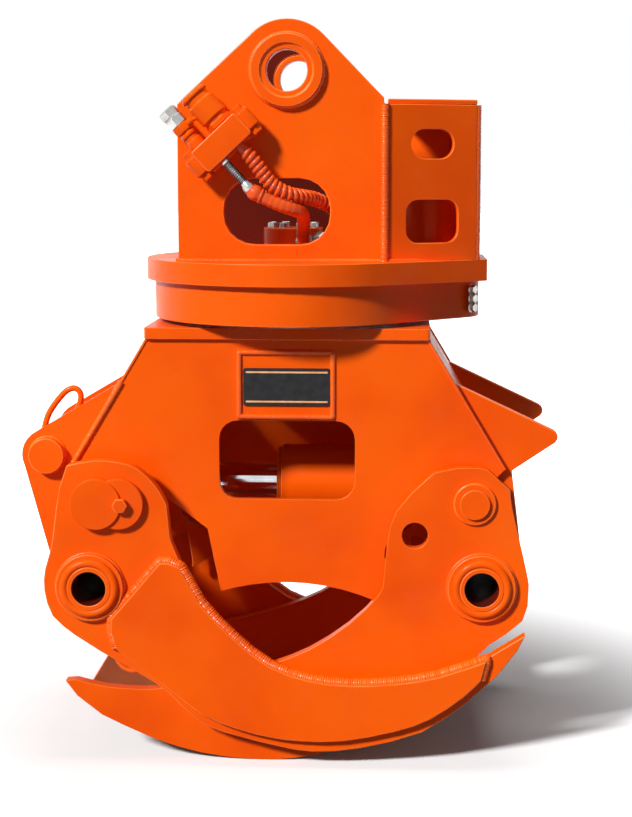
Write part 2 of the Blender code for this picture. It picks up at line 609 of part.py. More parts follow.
def cylinder_pins():
    """Pins of the jaw cylinder; the left one has a flag head held by a keeper bolt."""
    reach = RIGHT_JAW_FACE + CYLINDER_PIN_PROUD
    turned("right_cylinder_pin", [], [rod(CYLINDER_PIN_RADIUS, -reach, reach)], "Y",
           (CYLINDER_PIN_X, 0.0, CYLINDER_PIN_Z), "paint")
    face = LEFT_JAW_FACE + SEAT_GAP
    profile = [(0.0, LEFT_JAW_FACE + PIN_RING_PROUD), (CYLINDER_PIN_RADIUS, LEFT_JAW_FACE + PIN_RING_PROUD),
               (CYLINDER_PIN_RADIUS, SEAT_GAP - face), (0.0, SEAT_GAP - face)]
    turned("left_cylinder_pin", [], [profile], "Y", (-CYLINDER_PIN_X, 0.0, CYLINDER_PIN_Z), "paint")
    centre = (-CYLINDER_PIN_X, CYLINDER_PIN_Z)
    lobe = (centre[0] + KEEPER_REACH, centre[1] - SEAT_GAP)
    lean = atan2((KEEPER_REACH ** 2 - (PIN_HEAD_RADIUS - KEEPER_RADIUS) ** 2) ** 0.5,
                 PIN_HEAD_RADIUS - KEEPER_RADIUS)
    flag = arc(centre, PIN_HEAD_RADIUS, lean, 2 * pi - lean, 20) + arc(lobe, KEEPER_RADIUS, -lean, lean, 8)
    hole = circle(lobe, KEEPER_BOLT_SHANK + SEAT_GAP, BOLT_HOLE_STEPS)
    upright("pin_flag_head", [flag, hole], face, PIN_HEAD_THICK, -1)
    seat = face + PIN_HEAD_THICK + SEAT_GAP
    shank = [(0.0, KEEPER_BOLT_HEIGHT), (KEEPER_BOLT_RADIUS, KEEPER_BOLT_HEIGHT), (KEEPER_BOLT_RADIUS, 0.0),
             (KEEPER_BOLT_SHANK, 0.0), (KEEPER_BOLT_SHANK, -PIN_HEAD_THICK), (0.0, -PIN_HEAD_THICK)]
    turned("keeper_bolt", [], [shank], "Y", (lobe[0], -seat, lobe[1]), "paint", HEX_STEPS,
           (radians(90.0), 0.0, 0.0))


def cylinder():
    """Jaw cylinder: barrel on the right jaw's pin, rod on the left jaw's pin."""
    z = CYLINDER_PIN_Z
    eye_bore = CYLINDER_PIN_RADIUS + RUN_GAP
    ring = tube(eye_bore, EYE_RADIUS, -EYE_HALF, EYE_HALF)
    turned("barrel_eye", [ring], [], "Y", (CYLINDER_PIN_X, 0.0, z), "paint")
    turned("rod_eye", [ring], [], "Y", (-CYLINDER_PIN_X, 0.0, z), "paint")
    base = EYE_RADIUS + SEAT_GAP
    bore = BARREL_RADIUS - BARREL_WALL
    end = base + BARREL_LENGTH
    barrel = [(0.0, -base), (BARREL_RADIUS, -base), (BARREL_RADIUS, -end), (bore, -end),
              (bore, -base - BARREL_BASE), (0.0, -base - BARREL_BASE)]
    turned("barrel_tube", [], [barrel], "X", (CYLINDER_PIN_X, 0.0, z), "paint")
    inner = end - GLAND_LENGTH
    lip = end + SEAT_GAP
    gland = [(bore - SEAT_GAP, -inner), (bore - SEAT_GAP, -lip), (GLAND_LIP_RADIUS, -lip),
             (GLAND_LIP_RADIUS, -lip - GLAND_LIP), (ROD_RADIUS + RUN_GAP, -lip - GLAND_LIP),
             (ROD_RADIUS + RUN_GAP, -inner)]
    turned("barrel_gland", [gland], [], "X", (CYLINDER_PIN_X, 0.0, z), "paint")
    reach = 2 * CYLINDER_PIN_X - inner + PISTON_LENGTH + PISTON_PLAY
    turned("cylinder_rod", [], [rod(ROD_RADIUS, base, reach)], "X", (-CYLINDER_PIN_X, 0.0, z), "chrome")
    piston = tube(ROD_RADIUS + SEAT_GAP, bore - RUN_GAP, reach - PISTON_LENGTH, reach)
    turned("piston", [piston], [], "X", (-CYLINDER_PIN_X, 0.0, z), "steel")


# Slew drive

def slew_drive():
    """Ring gear and pinion in mesh, the ball race, the housing and the motor."""
    housing_inner = pear(HOUSING_RADIUS - HOUSING_WALL, LOBE_END_X - HOUSING_WALL, LOBE_RADIUS - HOUSING_WALL)
    lying("slew_housing", [pear(HOUSING_RADIUS, LOBE_END_X, LOBE_RADIUS), housing_inner],
          HOUSING_LOW, HOUSING_HEIGHT)
    lying("ring_gear", [gear_outline(RING_TEETH, 0.0), circle((0.0, 0.0), GEAR_BORE)],
          GEAR_LOW, GEAR_HEIGHT, "steel")
    spacer_low = TOP_PLATE_TOP + SEAT_GAP
    lying("gear_spacer", [circle((0.0, 0.0), SPACER_RADIUS), circle((0.0, 0.0), GEAR_BORE)],
          spacer_low, GEAR_LOW - SEAT_GAP - spacer_low, "steel")
    lying("inner_race", [circle((0.0, 0.0), RACE_RADIUS), circle((0.0, 0.0), RACE_INNER_RADIUS)],
          GEAR_LOW, FLANGE_LOW - SEAT_GAP - GEAR_LOW, "steel")
    cage_low = GEAR_LOW + (GEAR_HEIGHT - BALL_SPACE) / 2
    lying("race_cage", [circle((0.0, 0.0), GEAR_BORE - RUN_GAP), circle((0.0, 0.0), RACE_RADIUS + RACE_PLAY)],
          cage_low, BALL_SPACE, "steel")
    gear = outline_plate("pinion_gear", [gear_outline(PINION_TEETH, 0.0),
                         circle((0.0, 0.0), SHAFT_RADIUS + SEAT_GAP)], GEAR_HEIGHT,
                         (MOTOR_X, 0.0, GEAR_LOW + GEAR_HEIGHT / 2), (0.0, 0.0, 0.0), "steel")
    gear.location.z += SEAT_GAP
    turned("pinion_shaft", [], [rod(SHAFT_RADIUS, GEAR_LOW, GEAR_LOW + SHAFT_LENGTH)], "Z",
           (MOTOR_X, 0.0, 0.0), "steel", HOLE_STEPS)
    low = EAR_LOW
    step = low + MOTOR_FLANGE_THICK
    top = low + MOTOR_HEIGHT
    pocket = GEAR_LOW + SHAFT_LENGTH + CUT_RUN
    motor = [(0.0, top + MOTOR_CAP_HEIGHT), (MOTOR_CAP_RADIUS, top + MOTOR_CAP_HEIGHT),
             (MOTOR_CAP_RADIUS, top), (MOTOR_RADIUS, top), (MOTOR_RADIUS, step), (MOTOR_FLANGE_RADIUS, step),
             (MOTOR_FLANGE_RADIUS, low), (SHAFT_RADIUS + RUN_GAP, low), (SHAFT_RADIUS + RUN_GAP, pocket),
             (0.0, pocket)]
    turned("slew_motor", [], [motor], "Z", (MOTOR_X, 0.0, 0.0), "paint", HOLE_STEPS)


def swivel():
    """Rotary oil joint: body on the head flange, spool on the lower frame."""
    top = FLANGE_TOP + SWIVEL_RISE
    seat = EAR_LOW
    collar = seat + SWIVEL_COLLAR_THICK
    bottom = FLANGE_LOW - SWIVEL_DROP + FLANGE_THICK
    ceiling = top - SWIVEL_CROWN
    body = [(0.0, top), (SWIVEL_RADIUS, top), (SWIVEL_RADIUS, collar), (SWIVEL_COLLAR_RADIUS, collar),
            (SWIVEL_COLLAR_RADIUS, seat), (SWIVEL_RADIUS, seat), (SWIVEL_RADIUS, bottom),
            (SWIVEL_BORE + RUN_GAP, bottom), (SWIVEL_BORE + RUN_GAP, ceiling), (0.0, ceiling)]
    turned("swivel_body", [], [body], "Z", (0.0, 0.0, 0.0), "paint")
    under = FRAME_PLATE_TOP
    spool = [(0.0, ceiling - CUT_RUN), (SWIVEL_BORE, ceiling - CUT_RUN), (SWIVEL_BORE, under),
             (SPOOL_COLLAR_RADIUS, under), (SPOOL_COLLAR_RADIUS, under - SPOOL_COLLAR_THICK),
             (SWIVEL_BORE, under - SPOOL_COLLAR_THICK), (SWIVEL_BORE, under - SPOOL_COLLAR_THICK - SPOOL_TAIL),
             (0.0, under - SPOOL_COLLAR_THICK - SPOOL_TAIL)]
    turned("swivel_spool", [], [spool], "Z", (0.0, 0.0, 0.0), "steel")


# Headstock

def head_flange():
    """Thick pear flange with a squared end under the guard."""
    corner = (FLANGE_END_X, FLANGE_END_HALF)
    lean = atan2(corner[1], corner[0]) + pi / 2 - atan2(FLANGE_RADIUS,
                                                       (hypot(*corner) ** 2 - FLANGE_RADIUS ** 2) ** 0.5)
    outline = arc((0.0, 0.0), FLANGE_RADIUS, lean, 2 * pi - lean, 36) \
        + [(FLANGE_END_X, -FLANGE_END_HALF), (FLANGE_END_X, FLANGE_END_HALF)]
    holes = [circle((0.0, 0.0), SWIVEL_RADIUS + SEAT_GAP),
             circle((MOTOR_X, 0.0), SHAFT_RADIUS + CUT_RUN, HOLE_STEPS)]
    lying("head_flange", [outline] + holes, FLANGE_LOW, FLANGE_THICK)


def ears():
    """Two ears with the head bore, and the flanged bushes that line it."""
    shoulder = BORE_Z - EAR_SHOULDER_DROP
    crown = arc((0.0, BORE_Z), EAR_CROWN, radians(136.0), radians(44.0), 14)
    outline = [(EAR_RIGHT_X, EAR_LOW), (EAR_LEFT_X, EAR_LOW), (EAR_LEFT_X, shoulder - EAR_SHOULDER_IN),
               (EAR_LEFT_X + EAR_SHOULDER_IN, shoulder)] + crown \
        + [(EAR_RIGHT_X - EAR_SHOULDER_IN, shoulder + EAR_SHOULDER_IN), (EAR_RIGHT_X, shoulder)]
    bore = circle((0.0, BORE_Z), HEAD_BUSH_RADIUS + SEAT_GAP)
    window = rounded_box((EAR_WINDOW_X, EAR_LOW + EAR_WINDOW_RISE), EAR_WINDOW_WIDTH, EAR_WINDOW_HEIGHT,
                         EAR_WINDOW_CORNER)
    inner = EAR_FACE - EAR_THICK
    upright("front_ear", [outline, bore, window], inner, EAR_THICK, -1)
    upright("back_ear", [outline, bore], inner, EAR_THICK, 1)
    lip = EAR_FACE + HEAD_RING_PROUD - PIN_RING_PROUD
    bush = [(HEAD_RING_RADIUS, EAR_FACE + HEAD_RING_PROUD), (HEAD_RING_RADIUS, EAR_FACE + SEAT_GAP),
            (HEAD_BUSH_RADIUS, EAR_FACE + SEAT_GAP), (HEAD_BUSH_RADIUS, inner), (HEAD_BORE_RADIUS, inner),
            (HEAD_BORE_RADIUS, lip), (HEAD_BUSH_RADIUS, lip), (HEAD_BUSH_RADIUS, EAR_FACE + HEAD_RING_PROUD)]
    mirrored = [(r, -h) for r, h in reversed(bush)]
    turned("front_head_bush", [mirrored], [], "Y", (0.0, 0.0, BORE_Z), "paint")
    turned("back_head_bush", [bush], [], "Y", (0.0, 0.0, BORE_Z), "paint")


def guard():
    """Guard over the slew motor: slanted front and back panels, an end panel and a lid."""
    run = (GUARD_END_X - GUARD_START_X) / cos(GUARD_SLANT)
    base = EAR_LOW
    middle = run / 2
    loops = [[(0.0, 0.0), (run, 0.0), (run, GUARD_HEIGHT), (0.0, GUARD_HEIGHT)],
             rounded_box((middle, GUARD_SLOT_RISE), GUARD_SLOT_WIDTH, GUARD_SLOT_HEIGHT, GUARD_SLOT_HEIGHT / 2),
             rounded_box((middle, GUARD_WINDOW_RISE), GUARD_WINDOW_SIZE, GUARD_WINDOW_HEIGHT,
                         GUARD_WINDOW_CORNER)]
    setback = GUARD_THICK / 2
    for name, side in (("guard_front_panel", -1), ("guard_back_panel", 1)):
        outer = (GUARD_START_X - setback * sin(GUARD_SLANT),
                 side * (EAR_FACE - setback * cos(GUARD_SLANT)), base)
        outline_plate(name, loops, GUARD_THICK, outer, (radians(90.0), 0.0, -side * GUARD_SLANT), "paint")
    end_half = EAR_FACE - run * sin(GUARD_SLANT) - GUARD_THICK
    end = [(GUARD_END_X - GUARD_THICK, -end_half), (GUARD_END_X, -end_half), (GUARD_END_X, end_half),
           (GUARD_END_X - GUARD_THICK, end_half)]
    lying("guard_end_panel", [end], base, GUARD_HEIGHT)
    slope = run * sin(GUARD_SLANT)
    lid = [(GUARD_START_X, -EAR_FACE + GUARD_THICK), (GUARD_END_X, -EAR_FACE + slope),
           (GUARD_END_X, EAR_FACE - slope), (GUARD_START_X, EAR_FACE - GUARD_THICK)]
    lying("guard_lid", [lid], base + GUARD_HEIGHT + SEAT_GAP, GUARD_THICK)


def tilted(local_x, local_z):
    """A point on the front ear's face, given along and across the tilted hose block."""
    return (BLOCK_X + local_x * cos(BLOCK_TILT) - local_z * sin(BLOCK_TILT),
            EAR_LOW + BLOCK_RISE + local_x * sin(BLOCK_TILT) + local_z * cos(BLOCK_TILT))


def manifold():
    """Hose block on the front ear with its foot, valve and port."""
    face = EAR_FACE + SEAT_GAP
    foot = rounded_box((0.0, 0.0), BLOCK_FOOT_LENGTH, BLOCK_FOOT_WIDTH, BLOCK_FOOT_THICK, 3)
    turn = (radians(90.0), -BLOCK_TILT, 0.0)
    centre = tilted(0.0, 0.0)
    depth = face + BLOCK_FOOT_THICK / 2
    outline_plate("manifold_foot", [foot], BLOCK_FOOT_THICK, (centre[0], -depth, centre[1]), turn, "paint")
    block = rounded_box((0.0, 0.0), BLOCK_LENGTH, BLOCK_WIDTH, BLOCK_CORNER, 2)
    block_low = face + BLOCK_FOOT_THICK + SEAT_GAP
    outline_plate("manifold_block", [block], BLOCK_DEPTH, (centre[0], -(block_low + BLOCK_DEPTH / 2), centre[1]),
                  turn, "paint")
    mid = -(block_low + BLOCK_DEPTH / 2)
    up = (0.0, -BLOCK_TILT, 0.0)
    edge = BLOCK_WIDTH / 2 + SEAT_GAP
    x, z = tilted(PORT_BODY_OFFSET, edge)
    turned("relief_valve", [], [rod(PORT_BODY_RADIUS, 0.0, PORT_BODY_LENGTH)], "Z", (x, mid, z), "paint",
           HOLE_STEPS, up)
    x, z = tilted(-PORT_NECK_OFFSET, edge)
    end = PORT_NECK_LENGTH + PORT_HEX_LENGTH
    port = [(0.0, end), (PORT_HEX_RADIUS, end), (PORT_HEX_RADIUS, PORT_NECK_LENGTH),
            (PORT_NECK_RADIUS, PORT_NECK_LENGTH), (PORT_NECK_RADIUS, 0.0), (0.0, 0.0)]
    turned("port_fitting", [], [port], "Z", (x, mid, z), "steel", HOLE_STEPS, up)
    hoses([tilted(offset, -edge) for offset in (-PORT_SPACING / 2, PORT_SPACING / 2)], mid)


def hoses(starts, mid):
    """Two hoses from the block through the ear window to the swivel ports."""
    port_z = FLANGE_TOP + SWIVEL_RISE - SWIVEL_PORT_DROP
    reach = SWIVEL_RADIUS + SEAT_GAP
    down = Vector((sin(BLOCK_TILT), 0.0, -cos(BLOCK_TILT)))
    side_out = Vector((cos(SWIVEL_PORT_TURN), sin(SWIVEL_PORT_TURN), 0.0))
    ports = [(Vector((SWIVEL_PORT_X, -reach, port_z)), Vector((0.0, -1.0, 0.0))),
             (Vector((0.0, 0.0, port_z)) + reach * side_out, side_out)]
    for name, (x, z), lead, middle, (port, out) in (("left_hose", starts[0], LEFT_LEAD, LEFT_ROUTE, ports[0]),
                                                    ("right_hose", starts[1], RIGHT_LEAD, RIGHT_ROUTE, ports[1])):
        start = Vector((x, mid, z))
        route = [start, start + down * lead / 2, start + down * lead] + [Vector(point) for point in middle] \
            + [port + out * SWIVEL_LEAD, port + out * SWIVEL_LEAD / 2, port]
        points = smooth(route, 3)
        curve = bpy.data.curves.new(name, "CURVE")
        curve.dimensions = "3D"
        curve.bevel_depth = HOSE_RADIUS
        curve.bevel_resolution = 2
        curve.use_fill_caps = True
        spline = curve.splines.new("POLY")
        spline.points.add(len(points) - 1)
        for point, spot in zip(spline.points, points):
            point.co = (*spot, 1.0)
        place(bpy.data.objects.new(name, curve), "hose")


frame_plates()
wings()
pivots()
badge()
left_jaw()
right_jaw()
cylinder_pins()
cylinder()
slew_drive()
swivel()
head_flange()
ears()
guard()
manifold()
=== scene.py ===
"""Looks of a hydraulic log grapple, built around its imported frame.

Metres, +Z up. +X is to the right as seen from the badge side, and -Y points out of that side.
Places that the frame has are read from it; every other size is a field of the class that uses it.
"""
import logging
import math
import random
from dataclasses import dataclass, field
from enum import Enum
from typing import Callable, Iterable, Mapping, NamedTuple, Optional, Sequence, Union

import bpy
from mathutils import Matrix, Vector


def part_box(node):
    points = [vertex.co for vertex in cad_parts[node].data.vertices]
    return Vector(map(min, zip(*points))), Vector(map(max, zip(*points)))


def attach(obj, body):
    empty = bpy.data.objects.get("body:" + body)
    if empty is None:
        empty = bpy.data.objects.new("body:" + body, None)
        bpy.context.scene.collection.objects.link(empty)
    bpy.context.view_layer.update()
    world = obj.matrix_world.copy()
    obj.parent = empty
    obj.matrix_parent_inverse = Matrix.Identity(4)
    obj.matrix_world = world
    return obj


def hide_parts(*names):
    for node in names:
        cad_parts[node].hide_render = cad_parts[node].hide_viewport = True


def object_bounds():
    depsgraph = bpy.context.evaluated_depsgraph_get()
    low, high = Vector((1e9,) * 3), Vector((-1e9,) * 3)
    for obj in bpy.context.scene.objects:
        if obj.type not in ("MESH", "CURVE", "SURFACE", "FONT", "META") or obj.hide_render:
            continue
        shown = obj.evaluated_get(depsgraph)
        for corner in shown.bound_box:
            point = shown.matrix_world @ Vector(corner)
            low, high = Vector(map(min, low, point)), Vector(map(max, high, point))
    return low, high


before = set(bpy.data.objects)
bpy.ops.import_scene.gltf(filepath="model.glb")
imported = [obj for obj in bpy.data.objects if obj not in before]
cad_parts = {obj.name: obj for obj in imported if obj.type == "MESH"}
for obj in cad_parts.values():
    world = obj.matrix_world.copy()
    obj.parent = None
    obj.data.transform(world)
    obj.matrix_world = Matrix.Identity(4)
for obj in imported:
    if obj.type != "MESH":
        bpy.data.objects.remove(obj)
CAD_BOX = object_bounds()
LOG = logging.getLogger("log_grapple")
RUN_STEP = 0.003  # metres between the points of a swept run
UP = Vector((0.0, 0.0, 1.0))
Piece = bpy.types.Object
Material = bpy.types.Material
Socket = bpy.types.NodeSocket
Inputs = Mapping[Union[str, int], object]
Colour = tuple[float, float, float]
Noise = tuple[float, float]
Spot = Sequence[float]
Run = Sequence[Spot]
Stations = Sequence[tuple[float, float]]


class Body(Enum):
    """The frame's moving bodies that carry a visible piece."""

    HEADSTOCK = "headstock"
    LOWER_FRAME = "lower_frame"
    LEFT_JAW = "left_jaw"
    RIGHT_JAW = "right_jaw"
    BARREL = "cylinder_barrel"
    ROD = "cylinder_rod_assembly"


class Slot(Enum):
    """The record's material slots."""

    PAINT = "orange_paint"
    STEEL = "machined_steel"
    BRIGHT = "bright_steel"
    CHROME = "chrome_rod"
    BADGE = "black_badge"
    HOSE = "painted_hose"


class NodeSheet:
    """A node tree, with a short way to add a node, set it and link it."""

    def __init__(self, owner: bpy.types.ID) -> None:
        """Open a tree."""
        owner.use_nodes = True
        self.tree = owner.node_tree

    def feed(self, node: bpy.types.Node, values: Inputs) -> None:
        """Give a node's inputs what they take.

        Args:
            node: The node.
            values: For each input, the output to link to it or a plain value.
        """
        for key, value in values.items():
            if isinstance(value, Socket):
                self.tree.links.new(value, node.inputs[key])
            else:
                node.inputs[key].default_value = value

    def add(self, kind: str, values: Inputs, **settings: str) -> bpy.types.Node:
        """Add a node.

        Args:
            kind: Its type.
            values: What its inputs take.
            settings: Its own settings, which come before its inputs.

        Returns:
            The node.
        """
        node = self.tree.nodes.new("ShaderNode" + kind)
        for name, value in settings.items():
            setattr(node, name, value)
        self.feed(node, values)
        return node

    def seen(self) -> Socket:
        """Tell rays that show the stage itself, camera, glossy and transmission ones, from light.

        Returns:
            1 for such rays and 0 for the others.
        """
        path = self.add("LightPath", {})
        total = path.outputs["Is Camera Ray"]
        for ray in ("Is Glossy Ray", "Is Transmission Ray"):
            total = self.add("Math", {0: total, 1: path.outputs[ray]}, operation="MAXIMUM").outputs[0]
        return total


class Surface(NodeSheet):
    """A material whose patterns lie on Object coordinates and feed one Principled shader."""

    NOISE_MIDDLE = (0.3, 0.7)

    def __init__(self, name: str) -> None:
        """Start a material.

        Args:
            name: Its name.
        """
        self.material = bpy.data.materials.new(name)
        super().__init__(self.material)
        self.shader = self.tree.nodes["Principled BSDF"]
        self.place = self.add("TexCoord", {}).outputs["Object"]

    def noise(self, pattern: Noise, stretch: Optional[Colour] = None) -> Socket:
        """Add a noise pattern.

        Args:
            pattern: Cells per metre and octaves of finer noise.
            stretch: Scale along each axis, where the pattern runs one way.

        Returns:
            The noise's factor.
        """
        source = self.place
        if stretch:
            source = self.add("Mapping", {"Vector": source, "Scale": stretch}).outputs["Vector"]
        scale, detail = pattern
        return self.add("TexNoise", {"Vector": source, "Scale": scale, "Detail": detail}).outputs["Fac"]

    def ramp(self, factor: Socket, *stops: tuple[float, Colour]) -> Socket:
        """Turn a factor into a colour.

        Args:
            factor: The factor to read.
            stops: Place and colour of each stop.

        Returns:
            The colour.
        """
        node = self.add("ValToRGB", {"Fac": factor})
        elements = node.color_ramp.elements
        while len(elements) < len(stops):
            elements.new(1.0)
        for element, (spot, colour) in zip(elements, stops):
            element.position = spot
            element.color = (*colour, 1.0)
        return node.outputs["Color"]

    def spread(self, factor: Socket, low: float, high: float) -> Socket:
        """Spread the middle of a noise over a range of numbers."""
        least, most = self.NOISE_MIDDLE
        return self.add("MapRange", {"Value": factor, "From Min": least, "From Max": most,
                                     "To Min": low, "To Max": high}).outputs["Result"]

    def mix(self, factor: Socket, under: Socket, over: Colour) -> Socket:
        """Lay a plain colour over another by a factor."""
        values = {"Factor": factor, "A": under, "B": (*over, 1.0)}
        return self.add("Mix", values, data_type="RGBA").outputs["Result"]

    def closed(self, values: Inputs, *bumps: tuple[Socket, float, float]) -> Material:
        """Feed the shader, with bumps laid over one another on its normal.

        Args:
            values: What the shader's inputs take.
            bumps: Height pattern, strength and depth in metres of each bump.

        Returns:
            The material.
        """
        normal: Inputs = {}
        for height, strength, depth in bumps:
            inputs = {"Strength": strength, "Distance": depth, "Height": height, **normal}
            bump = self.add("Bump", inputs)
            normal = {"Normal": bump.outputs["Normal"]}
        self.feed(self.shader, {**values, **normal})
        return self.material


@dataclass(frozen=True)
class EnamelFinish:
    """Glossy sprayed enamel over welded plate, with a faint mottle and an orange-peel skin."""

    name: str = "orange_enamel"
    light: Colour = (0.92, 0.120, 0.0015)
    body: Colour = (0.88, 0.098, 0.0010)
    deep: Colour = (0.78, 0.070, 0.0008)
    dust: Colour = (0.60, 0.20, 0.08)
    dust_share: float = 0.03
    roughness: float = 0.30
    reflection: float = 0.10
    dust_gap: float = -0.9
    glossier: float = 0.07
    duller: float = 0.12
    mottle: Noise = (5.0, 3.0)
    speckle: Noise = (60.0, 6.0)
    gloss: Noise = (14.0, 4.0)
    wave: Noise = (7.0, 2.0)
    peel: Noise = (420.0, 2.0)

    def make(self) -> Material:
        """Build the enamel."""
        sheet = Surface(self.name)
        tone = sheet.ramp(sheet.noise(self.mottle), (0.30, self.deep), (0.52, self.body),
                          (0.78, self.light))
        speck = sheet.spread(sheet.noise(self.speckle), self.dust_gap * self.dust_share, self.dust_share)
        rough = sheet.spread(sheet.noise(self.gloss), self.roughness - self.glossier,
                             self.roughness + self.duller)
        return sheet.closed({"Base Color": sheet.mix(speck, tone, self.dust), "Roughness": rough,
                             "Specular IOR Level": self.reflection},
                            (sheet.noise(self.wave), 0.35, 0.0025), (sheet.noise(self.peel), 0.12, 0.0004))


@dataclass(frozen=True)
class WornHighlitEdgeFinish:
    """Enamel on a plate's rounded edge, where it is thinner and shows small chips; its paler tone is a
    painted highlight.
    """

    name: str = "orange_enamel_edge"
    body: Colour = (0.90, 0.13, 0.004)
    pale: Colour = (0.94, 0.20, 0.020)
    chip: Colour = (0.10, 0.045, 0.030)
    reflection: float = 0.30
    highlight_patches: Noise = (22.0, 5.0)
    chips: Noise = (150.0, 4.0)
    gloss: Noise = (30.0, 3.0)
    skin: Noise = (260.0, 3.0)

    def make(self) -> Material:
        """Build the edge enamel."""
        sheet = Surface(self.name)
        # Painted highlight: the edge tone runs from the body colour to the paler one in patches; the dark
        # chips are wear.
        tone = sheet.ramp(sheet.noise(self.highlight_patches), (0.40, self.body), (0.72, self.pale))
        chips = sheet.ramp(sheet.noise(self.chips), (0.70, (0.0,) * 3), (0.73, (0.8,) * 3))
        return sheet.closed({"Base Color": sheet.mix(chips, tone, self.chip),
                             "Roughness": sheet.spread(sheet.noise(self.gloss), 0.26, 0.42),
                             "Specular IOR Level": self.reflection}, (sheet.noise(self.skin), 0.2, 0.0004))


@dataclass(frozen=True)
class MetalFinish:
    """Bare metal: turned, plated or chromed."""

    name: str
    low: Colour
    high: Colour
    roughness: float
    grain: Colour = (1.0, 1.0, 1.0)
    grain_scale: float = 240.0
    depth: float = 0.0002
    cloud: Noise = (40.0, 4.0)

    def make(self) -> Material:
        """Build the metal."""
        sheet = Surface(self.name)
        fine = sheet.noise((self.grain_scale, 3.0), self.grain)
        tone = sheet.ramp(sheet.noise(self.cloud), (0.35, self.low), (0.65, self.high))
        rough = sheet.spread(fine, 0.8 * self.roughness, 1.3 * self.roughness)
        return sheet.closed({"Base Color": tone, "Roughness": rough, "Metallic": 1.0},
                            (fine, 0.25, self.depth))


@dataclass(frozen=True)
class PlainFinish:
    """A coating of one tone with a fine grain, for the badge and its lines."""

    name: str
    low: Colour
    high: Colour
    roughness: float
    reflection: float = 0.15
    cloud: Noise = (90.0, 4.0)
    gloss: Noise = (45.0, 3.0)
    skin: Noise = (500.0, 2.0)

    def make(self) -> Material:
        """Build the coating."""
        sheet = Surface(self.name)
        tone = sheet.ramp(sheet.noise(self.cloud), (0.35, self.low), (0.68, self.high))
        rough = sheet.spread(sheet.noise(self.gloss), 0.8 * self.roughness, 1.25 * self.roughness)
        return sheet.closed({"Base Color": tone, "Roughness": rough, "Specular IOR Level": self.reflection},
                            (sheet.noise(self.skin), 0.15, 0.0002))


class Coat(NamedTuple):
    """A material and the record's slot that it gives a look to."""

    material: Material
    slot: Slot


class Finishes:
    """Every finish of the grapple, built once."""

    def __init__(self) -> None:
        """Build the materials."""
        self.enamel = Coat(EnamelFinish().make(), Slot.PAINT)
        # Edge enamel: chips of wear and a paler painted highlight.
        self.edge = WornHighlitEdgeFinish().make()
        self.weld = Coat(EnamelFinish(
            "orange_enamel_weld", (0.94, 0.15, 0.004), (0.90, 0.115, 0.002), (0.78, 0.075, 0.001),
            (0.60, 0.20, 0.08), 0.02, 0.26, 0.28).make(), Slot.PAINT)
        self.hose = Coat(EnamelFinish(
            "overpainted_hose", (0.90, 0.14, 0.006), (0.80, 0.085, 0.003), (0.52, 0.040, 0.002),
            (0.30, 0.08, 0.03), 0.12, 0.34, 0.35).make(), Slot.HOSE)
        # Painted shade: near-black maroon for the ears' inner faces and the pivot pins' bores, where shade
        # falls.
        self.painted_shade = EnamelFinish(
            "painted_shade_maroon", (0.12, 0.008, 0.002), (0.085, 0.005, 0.001), (0.055, 0.003, 0.001),
            (0.08, 0.012, 0.005), 0.1, 0.55, 0.08).make()
        self.dusty = EnamelFinish(
            "dusty_enamel", (0.80, 0.24, 0.075), (0.66, 0.19, 0.065), (0.48, 0.13, 0.045),
            (0.40, 0.22, 0.13), 0.45, 0.62, 0.1).make()
        self.steel = MetalFinish("machined_steel", (0.36, 0.36, 0.37), (0.52, 0.52, 0.52), 0.34).make()
        self.bright = Coat(MetalFinish(
            "zinc_plate", (0.34, 0.34, 0.33), (0.54, 0.54, 0.53), 0.30).make(), Slot.BRIGHT)
        self.dark = Coat(MetalFinish(
            "dark_spring_steel", (0.07, 0.07, 0.08), (0.16, 0.16, 0.17), 0.36).make(), Slot.STEEL)
        self.chrome = MetalFinish("hard_chrome", (0.66, 0.67, 0.69), (0.74, 0.75, 0.77), 0.09,
                                  (1.0, 12.0, 12.0), 60.0, 0.00005).make()
        self.badge = Coat(PlainFinish(
            "satin_black", (0.010, 0.010, 0.011), (0.020, 0.020, 0.022), 0.34).make(), Slot.BADGE)
        self.line = Coat(PlainFinish(
            "cream_line", (0.80, 0.36, 0.14), (0.88, 0.50, 0.26), 0.45).make(), Slot.BADGE)


